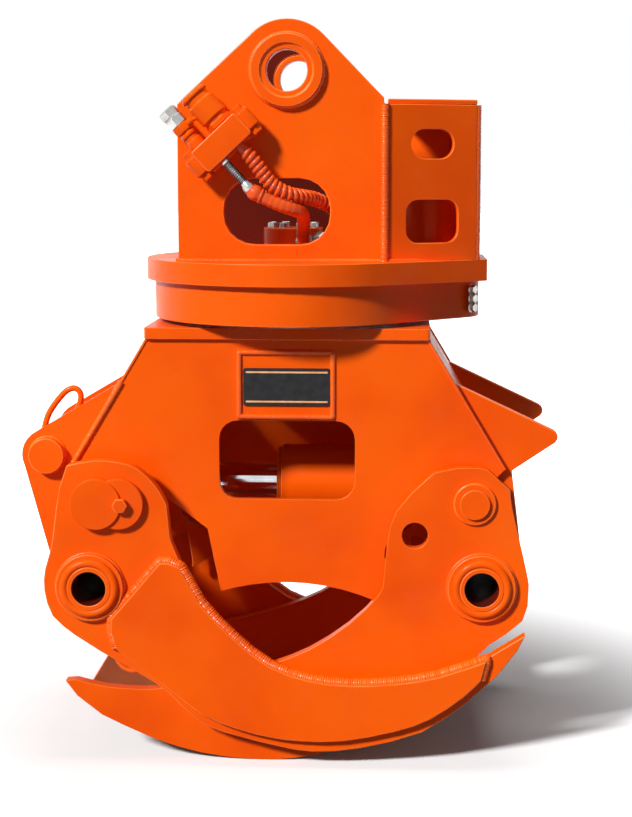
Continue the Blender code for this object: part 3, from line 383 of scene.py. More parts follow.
class Bench:
    """Modelling steps that every sub-assembly uses."""

    MERGE_REACH = 0.00002
    LEVEL_SLACK = 0.0002
    FLAT_ANGLE = math.radians(0.6)
    EDGE_ANGLE = math.radians(32.0)
    SMOOTH_ANGLE = math.radians(50.0)

    @staticmethod
    def clear() -> None:
        """Deselect everything, in object mode."""
        if bpy.context.mode != "OBJECT":
            bpy.ops.object.mode_set(mode="OBJECT")
        bpy.ops.object.select_all(action="DESELECT")

    @staticmethod
    def take(piece: Piece) -> None:
        """Make one piece the selected and active one.

        Args:
            piece: The piece to work on.
        """
        Bench.clear()
        piece.select_set(True)
        bpy.context.view_layer.objects.active = piece

    @staticmethod
    def edit(piece: Piece) -> None:
        """Open a piece for editing, with all of it selected.

        Args:
            piece: The piece to edit.
        """
        Bench.take(piece)
        bpy.ops.object.mode_set(mode="EDIT")
        bpy.ops.mesh.select_all(action="SELECT")

    @staticmethod
    def close() -> None:
        """Turn all faces of the edited piece outwards and leave it."""
        bpy.ops.mesh.select_all(action="SELECT")
        bpy.ops.mesh.normals_make_consistent(inside=False)
        Bench.clear()

    @staticmethod
    def added(name: str) -> Piece:
        """Name the piece that was just added, and apply its place to its mesh.

        Args:
            name: Name of the piece.

        Returns:
            The piece.
        """
        piece = bpy.context.view_layer.objects.active
        piece.name = piece.data.name = name
        bpy.ops.object.transform_apply(location=True, rotation=True, scale=True)
        return piece

    @staticmethod
    def apply(piece: Piece) -> None:
        """Apply every modifier of a piece, in order.

        Args:
            piece: The piece.
        """
        Bench.take(piece)
        for modifier in list(piece.modifiers):
            bpy.ops.object.modifier_apply(modifier=modifier.name)

    @staticmethod
    def settle(piece: Piece, matrix: Matrix) -> Piece:
        """Move a piece's mesh to its place and leave its object at the origin.

        Args:
            piece: A piece modelled about the origin.
            matrix: Its place.

        Returns:
            The piece.
        """
        piece.matrix_world = matrix
        Bench.take(piece)
        bpy.ops.object.transform_apply(location=True, rotation=True, scale=True)
        return piece

    @staticmethod
    def soften(piece: Piece, width: float, segments: int = 2, worn_highlit: bool = False) -> Piece:
        """Round a piece's sharp edges and shade it smooth.

        Args:
            piece: The piece.
            width: Width of the rounding.
            segments: Facets across the rounding.
            worn_highlit: Whether the rounding takes the piece's second material, the edge enamel with chips
                and a painted highlight.

        Returns:
            The piece.
        """
        bevel = piece.modifiers.new("edge", "BEVEL")
        bevel.width = width
        bevel.segments = segments
        bevel.limit_method = "ANGLE"
        bevel.angle_limit = Bench.EDGE_ANGLE
        bevel.material = 1 if worn_highlit else -1
        Bench.apply(piece)
        bpy.ops.object.shade_smooth_by_angle(angle=Bench.SMOOTH_ANGLE)
        normals = piece.modifiers.new("normals", "WEIGHTED_NORMAL")
        normals.keep_sharp = True
        Bench.apply(piece)
        return piece

    @staticmethod
    def carried(node: str) -> Piece:
        """Copy a frame node's mesh and merge its loose triangles into whole faces.

        Args:
            node: Name of the node.

        Returns:
            The merged copy.
        """
        piece = bpy.data.objects.new(node + "_dressed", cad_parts[node].data.copy())
        bpy.context.scene.collection.objects.link(piece)
        piece.data.materials.clear()
        Bench.edit(piece)
        bpy.ops.mesh.remove_doubles(threshold=Bench.MERGE_REACH)
        bpy.ops.mesh.dissolve_limited(angle_limit=Bench.FLAT_ANGLE)
        bpy.ops.mesh.normals_make_consistent(inside=False)
        Bench.clear()
        return piece

    @staticmethod
    def rim(node: str, level: float) -> list[Vector]:
        """Find the outline of a frame node's flat faces at one place on the Y axis.

        Args:
            node: Name of the node.
            level: Place of the faces.

        Returns:
            The longest closed loop of edges round those faces.
        """
        blank = Bench.carried(node)
        mesh = blank.data
        counts: dict[tuple[int, int], int] = {}
        for face in mesh.polygons:
            if all(abs(mesh.vertices[v].co.y - level) < Bench.LEVEL_SLACK for v in face.vertices):
                for key in face.edge_keys:
                    counts[key] = counts.get(key, 0) + 1
        ways: dict[int, list[int]] = {}
        for (a, b), count in counts.items():
            if count == 1:
                ways.setdefault(a, []).append(b)
                ways.setdefault(b, []).append(a)
        loops = []
        while ways:
            first = spot = next(iter(ways))
            loop = []
            while spot in ways:
                onward = [v for v in ways.pop(spot) if v in ways or (v == first and len(loop) > 1)]
                loop.append(mesh.vertices[spot].co.copy())
                spot = onward[0] if onward else first
            loops.append(loop)
        bpy.data.objects.remove(blank)
        return max(loops, key=lambda run: sum((a - b).length for a, b in zip(run, run[1:])))

    @staticmethod
    def stacked(name: str, stations: Stations, sides: int) -> Piece:
        """Model a round or many-sided solid by extruding and scaling a disc, station by station.

        Args:
            name: Name of the piece.
            stations: Radius and height of each station, from the bottom up; the first is the base.
            sides: Number of sides.

        Returns:
            The solid, about the Z axis.
        """
        Bench.clear()
        radius, height = stations[0]
        bpy.ops.mesh.primitive_circle_add(vertices=sides, radius=radius, fill_type="NGON",
                                          location=(0.0, 0.0, height))
        piece = Bench.added(name)
        Bench.edit(piece)
        for wide, high in stations[1:]:
            bpy.ops.mesh.extrude_region_move(TRANSFORM_OT_translate={"value": (0.0, 0.0, high - height)})
            share = wide / radius
            bpy.ops.transform.resize(value=(share, share, 1.0), center_override=(0.0, 0.0, high))
            radius, height = wide, high
        Bench.close()
        return piece

    @staticmethod
    def slab(name: str, place: Spot, size: Spot, edge: float, turn: float = 0.0) -> Piece:
        """Model a flat box with rounded edges.

        Args:
            name: Name of the piece.
            place: Its centre.
            size: Its size along each axis, before its turn.
            edge: Width of the rounding.
            turn: Its turn about the Z axis.

        Returns:
            The box.
        """
        Bench.clear()
        bpy.ops.mesh.primitive_cube_add(size=1.0, location=place, scale=size, rotation=(0.0, 0.0, turn))
        return Bench.soften(Bench.added(name), edge)

    @staticmethod
    def joined(name: str, pieces: Sequence[Piece]) -> Piece:
        """Join pieces into one.

        Args:
            name: Name of the whole.
            pieces: Its members, all with their place in their mesh.

        Returns:
            The whole.
        """
        Bench.take(pieces[0])
        for piece in pieces:
            piece.select_set(True)
        bpy.ops.object.join()
        return Bench.added(name)

    @staticmethod
    def copied(piece: Piece, name: str, matrix: Matrix) -> Piece:
        """Copy a piece with a mesh of its own, set at another place.

        Args:
            piece: The piece to copy.
            name: Name of the copy.
            matrix: How the copy is moved from the piece's place.

        Returns:
            The copy.
        """
        copy = bpy.data.objects.new(name, piece.data.copy())
        copy.data.transform(matrix)
        bpy.context.scene.collection.objects.link(copy)
        return copy


def aimed(spot: Spot, axis: Spot, turn: float = 0.0) -> Matrix:
    """Give the place of a piece that was modelled up the Z axis."""
    tilt = Vector(axis).normalized().to_track_quat("Z", "Y").to_matrix().to_4x4()
    return Matrix.Translation(spot) @ tilt @ Matrix.Rotation(turn, 4, "Z")


def middle(node: str) -> Vector:
    """Centre of a frame node's box."""
    low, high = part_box(node)
    return (low + high) / 2


def hoop(node: str, level: float, radius: Optional[float] = None, steps: int = 48) -> list[Vector]:
    """Draw a circle round a frame node that lies along the Y axis.

    Args:
        node: Name of the node.
        level: Place of the circle on the Y axis.
        radius: Its radius, if not that of the node.
        steps: Number of points.

    Returns:
        The points.
    """
    low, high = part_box(node)
    wide = radius or (high.x - low.x) / 2
    centre = (low + high) / 2
    centre.y = level
    angles = [2 * math.pi * i / steps for i in range(steps)]
    return [centre + wide * (math.cos(a) * Vector((1.0, 0.0, 0.0)) + math.sin(a) * UP) for a in angles]


def smooth(points: Run, steps: int = 8) -> list[Vector]:
    """Draw a smooth run through a few points.

    Args:
        points: The points, both ends included.
        steps: Steps between two points.

    Returns:
        The run.
    """
    ends = [Vector(points[0]), *map(Vector, points), Vector(points[-1])]
    run = []
    for a, b, c, d in zip(ends, ends[1:], ends[2:], ends[3:]):
        for k in range(steps):
            t = k / steps
            run.append(0.5 * (2 * b + (c - a) * t + (2 * a - 5 * b + 4 * c - d) * t * t
                              + (3 * b - a - 3 * c + d) * t ** 3))
    return run + [Vector(points[-1])]


def spaced(run: Run, pitch: float, closed: bool = False) -> list[Vector]:
    """Space points evenly along a run.

    Args:
        run: The run's corners.
        pitch: Distance between points.
        closed: Whether the run ends where it starts.

    Returns:
        The spaced points.
    """
    corners = [Vector(p) for p in run] + ([Vector(run[0])] if closed else [])
    lengths = [(b - a).length for a, b in zip(corners, corners[1:])]
    count = max(2, round(sum(lengths) / pitch))
    points, leg, passed = [], 0, 0.0
    for i in range(count if closed else count + 1):
        goal = sum(lengths) * i / count
        while leg < len(lengths) - 1 and goal > passed + lengths[leg]:
            passed += lengths[leg]
            leg += 1
        share = (goal - passed) / lengths[leg] if lengths[leg] else 0.0
        points.append(corners[leg].lerp(corners[leg + 1], min(share, 1.0)))
    return points


def swept(name: str, runs: Sequence[Run], radius: float, closed: bool = False, resolution: int = 2,
          shares: Optional[Sequence[Sequence[float]]] = None) -> Piece:
    """Sweep round tubes along runs of points and make them one mesh.

    Args:
        name: Name of the piece.
        runs: The points of every tube.
        radius: Radius of the tubes.
        closed: Whether each run is a closed loop.
        resolution: Facets in a quarter of the tube.
        shares: Share of the radius at each point of every tube, where it isn't the whole.

    Returns:
        The piece.
    """
    curve = bpy.data.curves.new(name, "CURVE")
    curve.dimensions = "3D"
    curve.bevel_depth = radius
    curve.bevel_resolution = resolution
    curve.use_fill_caps = True
    for run, sizes in zip(runs, shares or [[1.0] * len(run) for run in runs]):
        spline = curve.splines.new("POLY")
        spline.points.add(len(run) - 1)
        for point, spot, size in zip(spline.points, run, sizes):
            point.co = (*spot, 1.0)
            point.radius = size
        spline.use_cyclic_u = closed
    piece = bpy.data.objects.new(name, curve)
    bpy.context.scene.collection.objects.link(piece)
    Bench.take(piece)
    bpy.ops.object.convert(target="MESH")
    piece = Bench.added(name)
    bpy.ops.object.shade_smooth_by_angle(angle=Bench.SMOOTH_ANGLE)
    return piece


@dataclass(frozen=True)
class Bead:
    """A weld bead with the ripples that the welder's steps leave."""

    width: float
    ripple: float = 0.0036
    steps: tuple[float, ...] = (1.0, 0.97, 0.91)
    wander: float = 0.04

    def lay(self, name: str, runs: Sequence[Run], closed: bool) -> Piece:
        """Lay the bead along runs of points.

        Args:
            name: Name of the piece, which also seeds its unevenness.
            runs: The runs of corners.
            closed: Whether each run is a closed loop.

        Returns:
            The beads, as one mesh.
        """
        chance = random.Random(name)
        tubes = [spaced(run, self.ripple / len(self.steps), closed) for run in runs]
        shares = [[self.steps[i % len(self.steps)] * (1 + self.wander * chance.uniform(-1, 1))
                   for i in range(len(tube))] for tube in tubes]
        return swept(name, tubes, self.width / 2, closed, shares=shares)


@dataclass(frozen=True)
class HexBolt:
    """A hex bolt's head on its washer."""

    across: float = 0.024
    height: float = 0.011
    washer: float = 0.0026
    chamfer: float = 0.0014

    def model(self, name: str) -> Piece:
        """Model the head and washer up the Z axis from zero.

        Args:
            name: Name of the piece.

        Returns:
            The bolt.
        """
        flat = self.across / 2
        corner = self.across / math.sqrt(3.0)
        top = self.washer + self.height
        disc = Bench.stacked(name + "_washer", [(flat * 1.2, 0.0), (flat * 1.25, self.washer * 0.3),
                                                (flat * 1.25, self.washer * 0.8),
                                                (flat * 1.18, self.washer)], 28)
        head = Bench.stacked(name + "_head", [(corner, self.washer), (corner, top - self.chamfer),
                                              (corner * 0.90, top), (corner * 0.62, top),
                                              (corner * 0.58, top - self.chamfer * 0.4)], 6)
        return Bench.soften(Bench.joined(name, [disc, head]), self.chamfer * 0.35, 1)


@dataclass
class Dresser:
    """Gives pieces their finish and body."""

    finishes: Finishes = field(default_factory=Finishes)
    edge_round: float = 0.0018

    @staticmethod
    def carry(piece: Piece, body: Body, slot: Slot, instead: str) -> None:
        """Let a piece ride on its body.

        Args:
            piece: The piece, in place.
            body: The body that carries it.
            slot: The record's slot of its finish; not used.
            instead: Frame node that it stands for, or an empty string.
        """
        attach(piece, body.value)
        if instead:
            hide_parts(instead)
        LOG.info("%s rides on %s, %d faces", piece.name, body.value, len(piece.data.polygons))

    def put(self, piece: Piece, body: Body, coat: Coat, instead: str = "") -> None:
        """Give a piece one finish and let it ride on its body.

        Args:
            piece: The piece, in place.
            body: The body that carries it.
            coat: Its finish.
            instead: Frame node that it stands for.
        """
        piece.data.materials.clear()
        piece.data.materials.append(coat.material)
        self.carry(piece, body, coat.slot, instead)

    def paint(self, piece: Piece, body: Body, width: Optional[float] = None,
              finish: Optional[Material] = None, instead: str = "") -> Piece:
        """Paint a piece, with its edges rounded, worn and given a painted highlight, and let it ride on its
        body.

        Args:
            piece: The piece, in place.
            body: The body that carries it.
            width: Width of the rounding, if not the usual one.
            finish: Finish of its faces, if not the enamel.
            instead: Frame node that it stands for.

        Returns:
            The piece.
        """
        piece.data.materials.clear()
        piece.data.materials.append(finish or self.finishes.enamel.material)
        # Second material: edge enamel with chips of wear and a painted highlight.
        piece.data.materials.append(self.finishes.edge)
        Bench.soften(piece, width or self.edge_round, worn_highlit=True)
        self.carry(piece, body, Slot.PAINT, instead)
        return piece

    def plate(self, node: str, body: Body, width: Optional[float] = None,
              finish: Optional[Material] = None) -> Piece:
        """Dress a painted frame node: the same solid with rounded edges, worn and given a painted highlight.
        """
        return self.paint(Bench.carried(node), body, width, finish, node)

    def weld(self, name: str, body: Body, runs: Sequence[Run], width: float, closed: bool = False) -> None:
        """Lay painted weld beads."""
        self.put(Bead(width).lay(name, runs, closed), body, self.finishes.weld)

    def shade_faces(self, piece: Piece, chosen: Callable[[bpy.types.MeshPolygon], bool]) -> None:
        """Give some faces of a painted piece the dark painted shade, which stands in for the shade in
        hollows.

        Args:
            piece: The painted piece.
            chosen: Says whether a face is one of them.
        """
        piece.data.materials.append(self.finishes.painted_shade)
        for face in piece.data.polygons:
            if chosen(face):
                face.material_index = len(piece.data.materials) - 1

    @staticmethod
    def bare(nodes: Iterable[str], material: Material) -> None:
        """Give frame nodes that stay as they are a finish of their own.

        Args:
            nodes: Names of the nodes.
            material: The finish.
        """
        for node in nodes:
            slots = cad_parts[node].data.materials
            slots.clear()
            slots.append(material)


@dataclass
class Headstock:
    """Flange, ears, head bushes and the motor guard."""

    dresser: Dresser
    nodes: tuple[str, ...] = (
        "head_flange", "front_head_bush", "back_head_bush", "guard_front_panel", "guard_back_panel",
        "guard_end_panel", "guard_lid", "slew_motor", "swivel_body", "slew_housing")
    bolt_circle: float = 0.125
    bolt_count: int = 20
    bolt_reach: float = 0.104
    bead_width: float = 0.009
    upright_bead: float = 0.014
    patch_place: tuple[float, float, float] = (0.2275, 0.1030, 0.9950)
    patch_size: tuple[float, float, float] = (0.078, 0.005, 0.062)
    patch_edge: float = 0.0015
    swivel_bolts: int = 8
    swivel_circle: float = 0.037
    small_bolt: HexBolt = HexBolt(0.013, 0.008, 0.001, 0.0008)
    facing: float = 0.99
    housing_end: float = 0.225
    plugs: tuple[tuple[float, float], ...] = (
        (-34.0, 0.752), (-34.0, 0.737), (-34.0, 0.722), (34.0, 0.737))

    def build(self) -> None:
        """Model and dress the headstock."""
        for name, inward in (("front_ear", 1.0), ("back_ear", -1.0)):
            ear = self.dresser.plate(name, Body.HEADSTOCK)
            # Painted shade: each ear's inner face takes the dark shade colour.
            self.dresser.shade_faces(ear, lambda face: face.normal.y * inward > self.facing)
        for node in self.nodes:
            self.dresser.plate(node, Body.HEADSTOCK)
        self.ear_welds()
        self.guard_welds()
        self.bolts()
        self.guard_patch()

    def ear_welds(self) -> None:
        """Weld the ears to the flange and the bushes to the ears."""
        for name, outer in (("front_ear", 0), ("back_ear", 1)):
            low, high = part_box(name)
            sides = [[(low.x, y, low.z), (high.x, y, low.z)] for y in (low.y, high.y)]
            end = [(low.x, low.y, low.z), (low.x, high.y, low.z)]
            self.dresser.weld(name + "_foot_weld", Body.HEADSTOCK, [*sides, end], self.bead_width)
            seam = hoop(name.replace("ear", "head_bush"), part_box(name)[outer].y)
            self.dresser.weld(name + "_bush_weld", Body.HEADSTOCK, [seam], self.bead_width, True)

    def guard_welds(self) -> None:
        """Weld the guard's panels to the ears, to the flange, and at their corners."""
        low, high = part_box("guard_front_panel")
        ear_low, ear_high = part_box("front_ear")
        end_low, end_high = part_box("guard_end_panel")
        start = (low.x + ear_high.x) / 2
        uprights, feet = [], []
        for side in (-1, 1):
            near, far = side * -ear_low.y, side * end_high.y
            uprights.append([(start, near, low.z), (start, near, high.z)])
            uprights.append([(end_high.x, far, low.z), (end_high.x, far, high.z)])
            feet.append([(low.x, near, low.z), (high.x, side * -high.y, low.z)])
        feet.append([(end_high.x, end_low.y, low.z), (end_high.x, end_high.y, low.z)])
        self.dresser.weld("guard_corner_welds", Body.HEADSTOCK, uprights, self.upright_bead)
        self.dresser.weld("guard_foot_weld", Body.HEADSTOCK, feet, self.bead_width)

    def set_bolt(self, head: Piece, name: str, spot: Spot, axis: Spot, turn: float = 0.0) -> None:
        """Set a copy of a bolt."""
        copy = Bench.copied(head, name, aimed(spot, axis, turn))
        self.dresser.put(copy, Body.HEADSTOCK, self.dresser.finishes.bright)

    def bolts(self) -> None:
        """Set the slew bearing's bolts, the swivel's bolts and the plugs in the housing's end."""
        for bolt, name, node, radius, count in (
                (HexBolt(), "ring_bolt", "head_flange", self.bolt_circle, self.bolt_count),
                (self.small_bolt, "swivel_bolt", "swivel_body", self.swivel_circle, self.swivel_bolts)):
            head, top = bolt.model(name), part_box(node)[1].z
            for i in range(count):
                angle = 2 * math.pi * (i + 0.5) / count
                spot = (radius * math.cos(angle), radius * math.sin(angle), top)
                if abs(spot[1]) < self.bolt_reach:
                    self.set_bolt(head, f"{name}_{i + 1}", spot, UP, angle)
            bpy.data.objects.remove(head)
        plug = self.small_bolt.model("housing_plug")
        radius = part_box("slew_housing")[1].x - self.housing_end
        for i, (turn, z) in enumerate(self.plugs):
            out = Vector((math.cos(math.radians(turn)), math.sin(math.radians(turn)), 0.0))
            spot = Vector((self.housing_end, 0.0, z)) + radius * out
            self.set_bolt(plug, f"housing_plug_{i + 1}", spot, out)
        bpy.data.objects.remove(plug)

    def guard_patch(self) -> None:
        """Model the plate that closes the guard's upper hole at the back."""
        low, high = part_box("guard_back_panel")
        turn = math.atan2(low.y - high.y, high.x - low.x)
        patch = Bench.slab("guard_patch", self.patch_place, self.patch_size, self.patch_edge, turn)
        self.dresser.put(patch, Body.HEADSTOCK, self.dresser.finishes.enamel)


@dataclass
class HosePack:
    """Hose block with its valve, port, bolts and the two hoses to the swivel."""

    dresser: Dresser
    tilt: float = math.radians(43.0)
    block_edge: float = 0.0022
    block_half: float = 0.0213
    lug_reach: float = 0.050
    lug_half: float = 0.016
    lug_edge: float = 0.001
    lug_bolt: HexBolt = HexBolt(0.019, 0.009, 0.002, 0.0012)
    lug_bolt_turn: float = 0.3
    valve_place: float = 0.018
    valve_edge: float = 0.0009
    valve_radius: float = 0.0195
    stem_height: float = 0.030
    stem_lean: tuple[float, float] = (0.2, -0.3)
    port_place: float = -0.030
    port_turn: float = 0.4
    fitting_edge: float = 0.0006
    hose_radius: float = 0.0105
    left_lead: float = 0.060
    right_lead: float = 0.030
    swivel_lead: float = 0.026
    crimp_points: tuple[int, int] = (2, 5)
    crimp_bulge: float = 0.22
    hose_wave: float = 0.05
    hose_wave_rate: float = 2.1
    spring_span: tuple[float, float] = (0.006, 0.046)
    spring_strip: float = 0.0014
    spring_radius: float = 0.0056
    spring_pitch: float = 0.0034
    cone_place: float = 0.045
    cone_edge: float = 0.0005
    band_points: tuple[int, int] = (6, 9)
    band_strip: float = 0.0022
    band_pitch: float = 0.0045
    right_share: float = 0.86
    wrap_points: tuple[int, int] = (4, -12)
    wrap_share: float = 0.82
    wrap_pitch: float = 0.0092
    wrap_strip: float = 0.0042
    swivel_port_x: float = 0.022
    swivel_port_drop: float = 0.020
    swivel_port_reach: float = 0.0503
    swivel_port_turn: float = math.radians(-35.0)
    port_offset: float = 0.017
    left_route: tuple[tuple[float, float, float], ...] = (
        (-0.036, -0.180, 0.9045), (-0.008, -0.177, 0.8915), (0.013, -0.167, 0.884),
        (0.0235, -0.148, 0.879), (0.0245, -0.118, 0.863), (0.022, -0.094, 0.842))
    right_route: tuple[tuple[float, float, float], ...] = (
        (-0.022, -0.176, 0.924), (0.004, -0.168, 0.909), (0.026, -0.150, 0.904),
        (0.045, -0.124, 0.899), (0.072, -0.098, 0.884), (0.084, -0.072, 0.856))

    def build(self) -> None:
        """Model and dress the hose pack."""
        for node in ("manifold_foot", "manifold_block"):
            self.dresser.plate(node, Body.HEADSTOCK, self.block_edge)
        self.lugs()
        self.valve()
        self.port()
        self.left_hose()
        self.right_hose()
        self.swivel_fittings()

    @property
    def up(self) -> Vector:
        """Direction across the block, towards the valve."""
        return Vector((-math.sin(self.tilt), 0.0, math.cos(self.tilt)))

    def along(self, x: float, z: float) -> Vector:
        """Find a point of the tilted block."""
        centre, cosine, sine = middle("manifold_block"), math.cos(self.tilt), math.sin(self.tilt)
        return Vector((centre.x + x * cosine - z * sine, centre.y, centre.z + x * sine + z * cosine))

    def fit(self, piece: Piece, spot: Spot, axis: Spot, coat: Coat, turn: float = 0.0, edge: float = 0.0,
            segments: int = 1, instead: str = "") -> None:
        """Set a fitting in its place on the headstock.

        Args:
            piece: The fitting, modelled up the Z axis.
            spot: Where its base goes.
            axis: Where its Z axis points.
            coat: Its finish.
            turn: Its turn about that axis.
            edge: Width of its edges' rounding, if they are to be rounded.
            segments: Facets across the rounding.
            instead: Frame node that it stands for.
        """
        Bench.settle(piece, aimed(spot, axis, turn))
        if edge:
            Bench.soften(piece, edge, segments)
        self.dresser.put(piece, Body.HEADSTOCK, coat, instead)

    def lugs(self) -> None:
        """Model the lugs at both ends of the block, each with its bolt and nut."""
        enamel = self.dresser.finishes.enamel
        profile = [(0.0135, 0.0), (0.0150, 0.003), (0.0150, 0.029), (0.0135, 0.032)]
        for name, side in (("lower", -1), ("upper", 1)):
            foot, top = (self.along(side * self.lug_reach, end * self.lug_half) for end in (-1, 1))
            self.fit(Bench.stacked(f"{name}_lug", profile, 24), foot, self.up, enamel, edge=self.lug_edge)
            for end, spot, axis in (("head", foot, -self.up), ("nut", top, self.up)):
                self.fit(self.lug_bolt.model(f"{name}_lug_{end}"), spot, axis, enamel, self.lug_bolt_turn)

    def valve(self) -> None:
        """Model the relief valve: a hex seat, a turned body and a bleed stem."""
        enamel, base = self.dresser.finishes.enamel, self.along(self.valve_place, self.block_half)
        seat = Bench.stacked("valve_seat", [(0.0215, 0.0), (0.0225, 0.002), (0.0225, 0.009),
                                            (0.0205, 0.011)], 6)
        body = Bench.stacked("valve_body", [(self.valve_radius, 0.010), (self.valve_radius, 0.0140),
                                            (0.0232, 0.0165), (0.0232, 0.0470), (0.0200, 0.0490),
                                            (0.0200, 0.0580), (0.0232, 0.0600), (0.0232, 0.0640),
                                            (0.0215, 0.0665)], 36)
        self.fit(Bench.joined("valve_body_turned", [seat, body]), base, self.up, enamel,
                 edge=self.valve_edge, segments=2, instead="relief_valve")
        stem = Bench.stacked("valve_bleed_stem", [(0.0035, 0.0), (0.0035, 0.010), (0.0055, 0.011),
                                                  (0.0055, 0.017), (0.0030, 0.020)], 12)
        upward, forward = self.stem_lean
        out = (self.up * upward + Vector((-math.cos(self.tilt), forward, -math.sin(self.tilt)))).normalized()
        self.fit(stem, base + self.up * self.stem_height + out * self.valve_radius, out, enamel)

    def port(self) -> None:
        """Model the machine's hose port: painted neck and nut under a plated hex."""
        finishes, base = self.dresser.finishes, self.along(self.port_place, self.block_half)
        neck = Bench.stacked("port_neck_turned", [(0.0130, 0.0), (0.0130, 0.012), (0.0112, 0.014),
                                                  (0.0112, 0.020), (0.0135, 0.022), (0.0135, 0.026),
                                                  (0.0112, 0.028), (0.0112, 0.036)], 28)
        nut = Bench.stacked("port_nut", [(0.0140, 0.030), (0.0156, 0.0315), (0.0156, 0.0425),
                                         (0.0140, 0.044)], 6)
        self.fit(Bench.joined("port_neck", [neck, nut]), base, self.up, finishes.enamel, self.port_turn,
                 self.fitting_edge)
        cap = Bench.stacked("port_hex_body", [(0.0140, 0.0435), (0.0160, 0.0450), (0.0160, 0.0585),
                                              (0.0146, 0.0600), (0.0146, 0.0610), (0.0160, 0.0622),
                                              (0.0160, 0.0735), (0.0140, 0.0750)], 6)
        self.fit(cap, base, self.up, finishes.bright, self.port_turn, self.fitting_edge, 2, "port_fitting")

    def swivel_port(self, side: int) -> tuple[Vector, Vector]:
        """Find a hose's port on the swivel.

        Args:
            side: -1 for the left hose and 1 for the right one.

        Returns:
            The port and the direction that it faces.
        """
        level = Vector((0.0, 0.0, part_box("swivel_body")[1].z - self.swivel_port_drop))
        reach = self.swivel_port_reach
        if side < 0:
            return level + Vector((self.swivel_port_x, -reach, 0.0)), Vector((0.0, -1.0, 0.0))
        out = Vector((math.cos(self.swivel_port_turn), math.sin(self.swivel_port_turn), 0.0))
        return level + reach * out, out

    def route(self, side: int, lead: float, between: Run) -> list[Vector]:
        """Lead a hose from the block through the ear's window to the swivel.

        Args:
            side: -1 for the left hose and 1 for the right one.
            lead: Length that leaves the block straight.
            between: Points between the two leads.

        Returns:
            The smooth run, spaced evenly.
        """
        start = self.along(side * self.port_offset, -self.block_half)
        port, out = self.swivel_port(side)
        down = -self.up
        run = smooth([start, start + down * lead / 2, start + down * lead, *between,
                      port + out * self.swivel_lead, port + out * self.swivel_lead / 2, port], 10)
        return spaced(run, RUN_STEP)

    def wound(self, name: str, run: Run, strip: float, radius: float, pitch: float,
              around: int = 12) -> Piece:
        """Wind a strip round a run.

        Args:
            name: Name of the piece.
            run: The run.
            strip: Radius of the strip.
            radius: Radius of the winding.
            pitch: Distance between turns.
            around: Points in a turn.

        Returns:
            The winding.
        """
        points = spaced(run, pitch / around)
        helix = []
        side = Vector((0.0, 1.0, 0.0))
        for i, point in enumerate(points):
            ahead = (points[min(i + 1, len(points) - 1)] - points[max(i - 1, 0)]).normalized()
            side = (side - ahead * side.dot(ahead)).normalized()
            angle = 2 * math.pi * i / around
            helix.append(point + radius * (math.cos(angle) * side + math.sin(angle) * ahead.cross(side)))
        return swept(name, [helix], strip)

    def left_hose(self) -> None:
        """Model the left line: a spring-guarded stem, a plated cone and the painted hose with its band."""
        finishes = self.dresser.finishes
        whole = self.route(-1, self.left_lead, self.left_route)
        start, down, straight = whole[0], -self.up, round(self.left_lead / RUN_STEP)
        run = whole[straight:]
        first, last = self.crimp_points
        bulge = [1.0 + (self.crimp_bulge if first <= i <= last else 0.0)
                 + self.hose_wave * math.sin(i * self.hose_wave_rate) for i in range(len(run))]
        hose = swept("left_hose_dressed", [run], self.hose_radius, resolution=5, shares=[bulge])
        self.dresser.put(hose, Body.HEADSTOCK, finishes.hose, "left_hose")
        stem = Bench.stacked("left_hose_stem", [(0.0068, 0.0), (0.0074, 0.002), (0.0068, 0.005),
                                                (0.0044, 0.007), (0.0044, 0.050)], 20)
        self.fit(stem, start, down, finishes.bright)
        spring = self.wound("left_hose_spring", [start + down * reach for reach in self.spring_span],
                            self.spring_strip, self.spring_radius, self.spring_pitch)
        self.dresser.put(spring, Body.HEADSTOCK, finishes.dark)
        cone = Bench.stacked("left_hose_cone", [(0.0060, 0.0), (0.0066, 0.001), (0.0096, 0.009),
                                                (0.0100, 0.014), (0.0094, 0.016)], 30)
        self.fit(cone, start + down * self.cone_place, down, finishes.bright, edge=self.cone_edge)
        band = self.wound("left_hose_band", run[slice(*self.band_points)], self.band_strip,
                          self.hose_radius, self.band_pitch)
        self.dresser.put(band, Body.HEADSTOCK, finishes.hose)

    def right_hose(self) -> None:
        """Model the right line: a painted hose in a spiral wrap."""
        run = self.route(1, self.right_lead, self.right_route)
        hose = swept("right_hose_dressed", [run], self.hose_radius * self.right_share, resolution=4)
        self.dresser.put(hose, Body.HEADSTOCK, self.dresser.finishes.hose, "right_hose")
        wrap = self.wound("right_hose_wrap", run[slice(*self.wrap_points)], self.wrap_strip,
                          self.hose_radius * self.wrap_share, self.wrap_pitch)
        self.dresser.put(wrap, Body.HEADSTOCK, self.dresser.finishes.hose)

    def swivel_fittings(self) -> None:
        """Model the plated nuts and crimped collars where the hoses meet the swivel."""
        for side, name in ((-1, "left"), (1, "right")):
            port, out = self.swivel_port(side)
            nut = Bench.stacked(name + "_swivel_nut_hex", [(0.0130, 0.0), (0.0145, 0.0015),
                                                           (0.0145, 0.0135), (0.0130, 0.015)], 6)
            collar = Bench.stacked(name + "_swivel_collar", [(0.0120, 0.0145), (0.0120, 0.017),
                                                             (0.0132, 0.018), (0.0132, 0.030),
                                                             (0.0118, 0.0315)], 24)
            self.fit(Bench.joined(name + "_swivel_fitting", [nut, collar]), port, out,
                     self.dresser.finishes.bright, edge=self.fitting_edge)


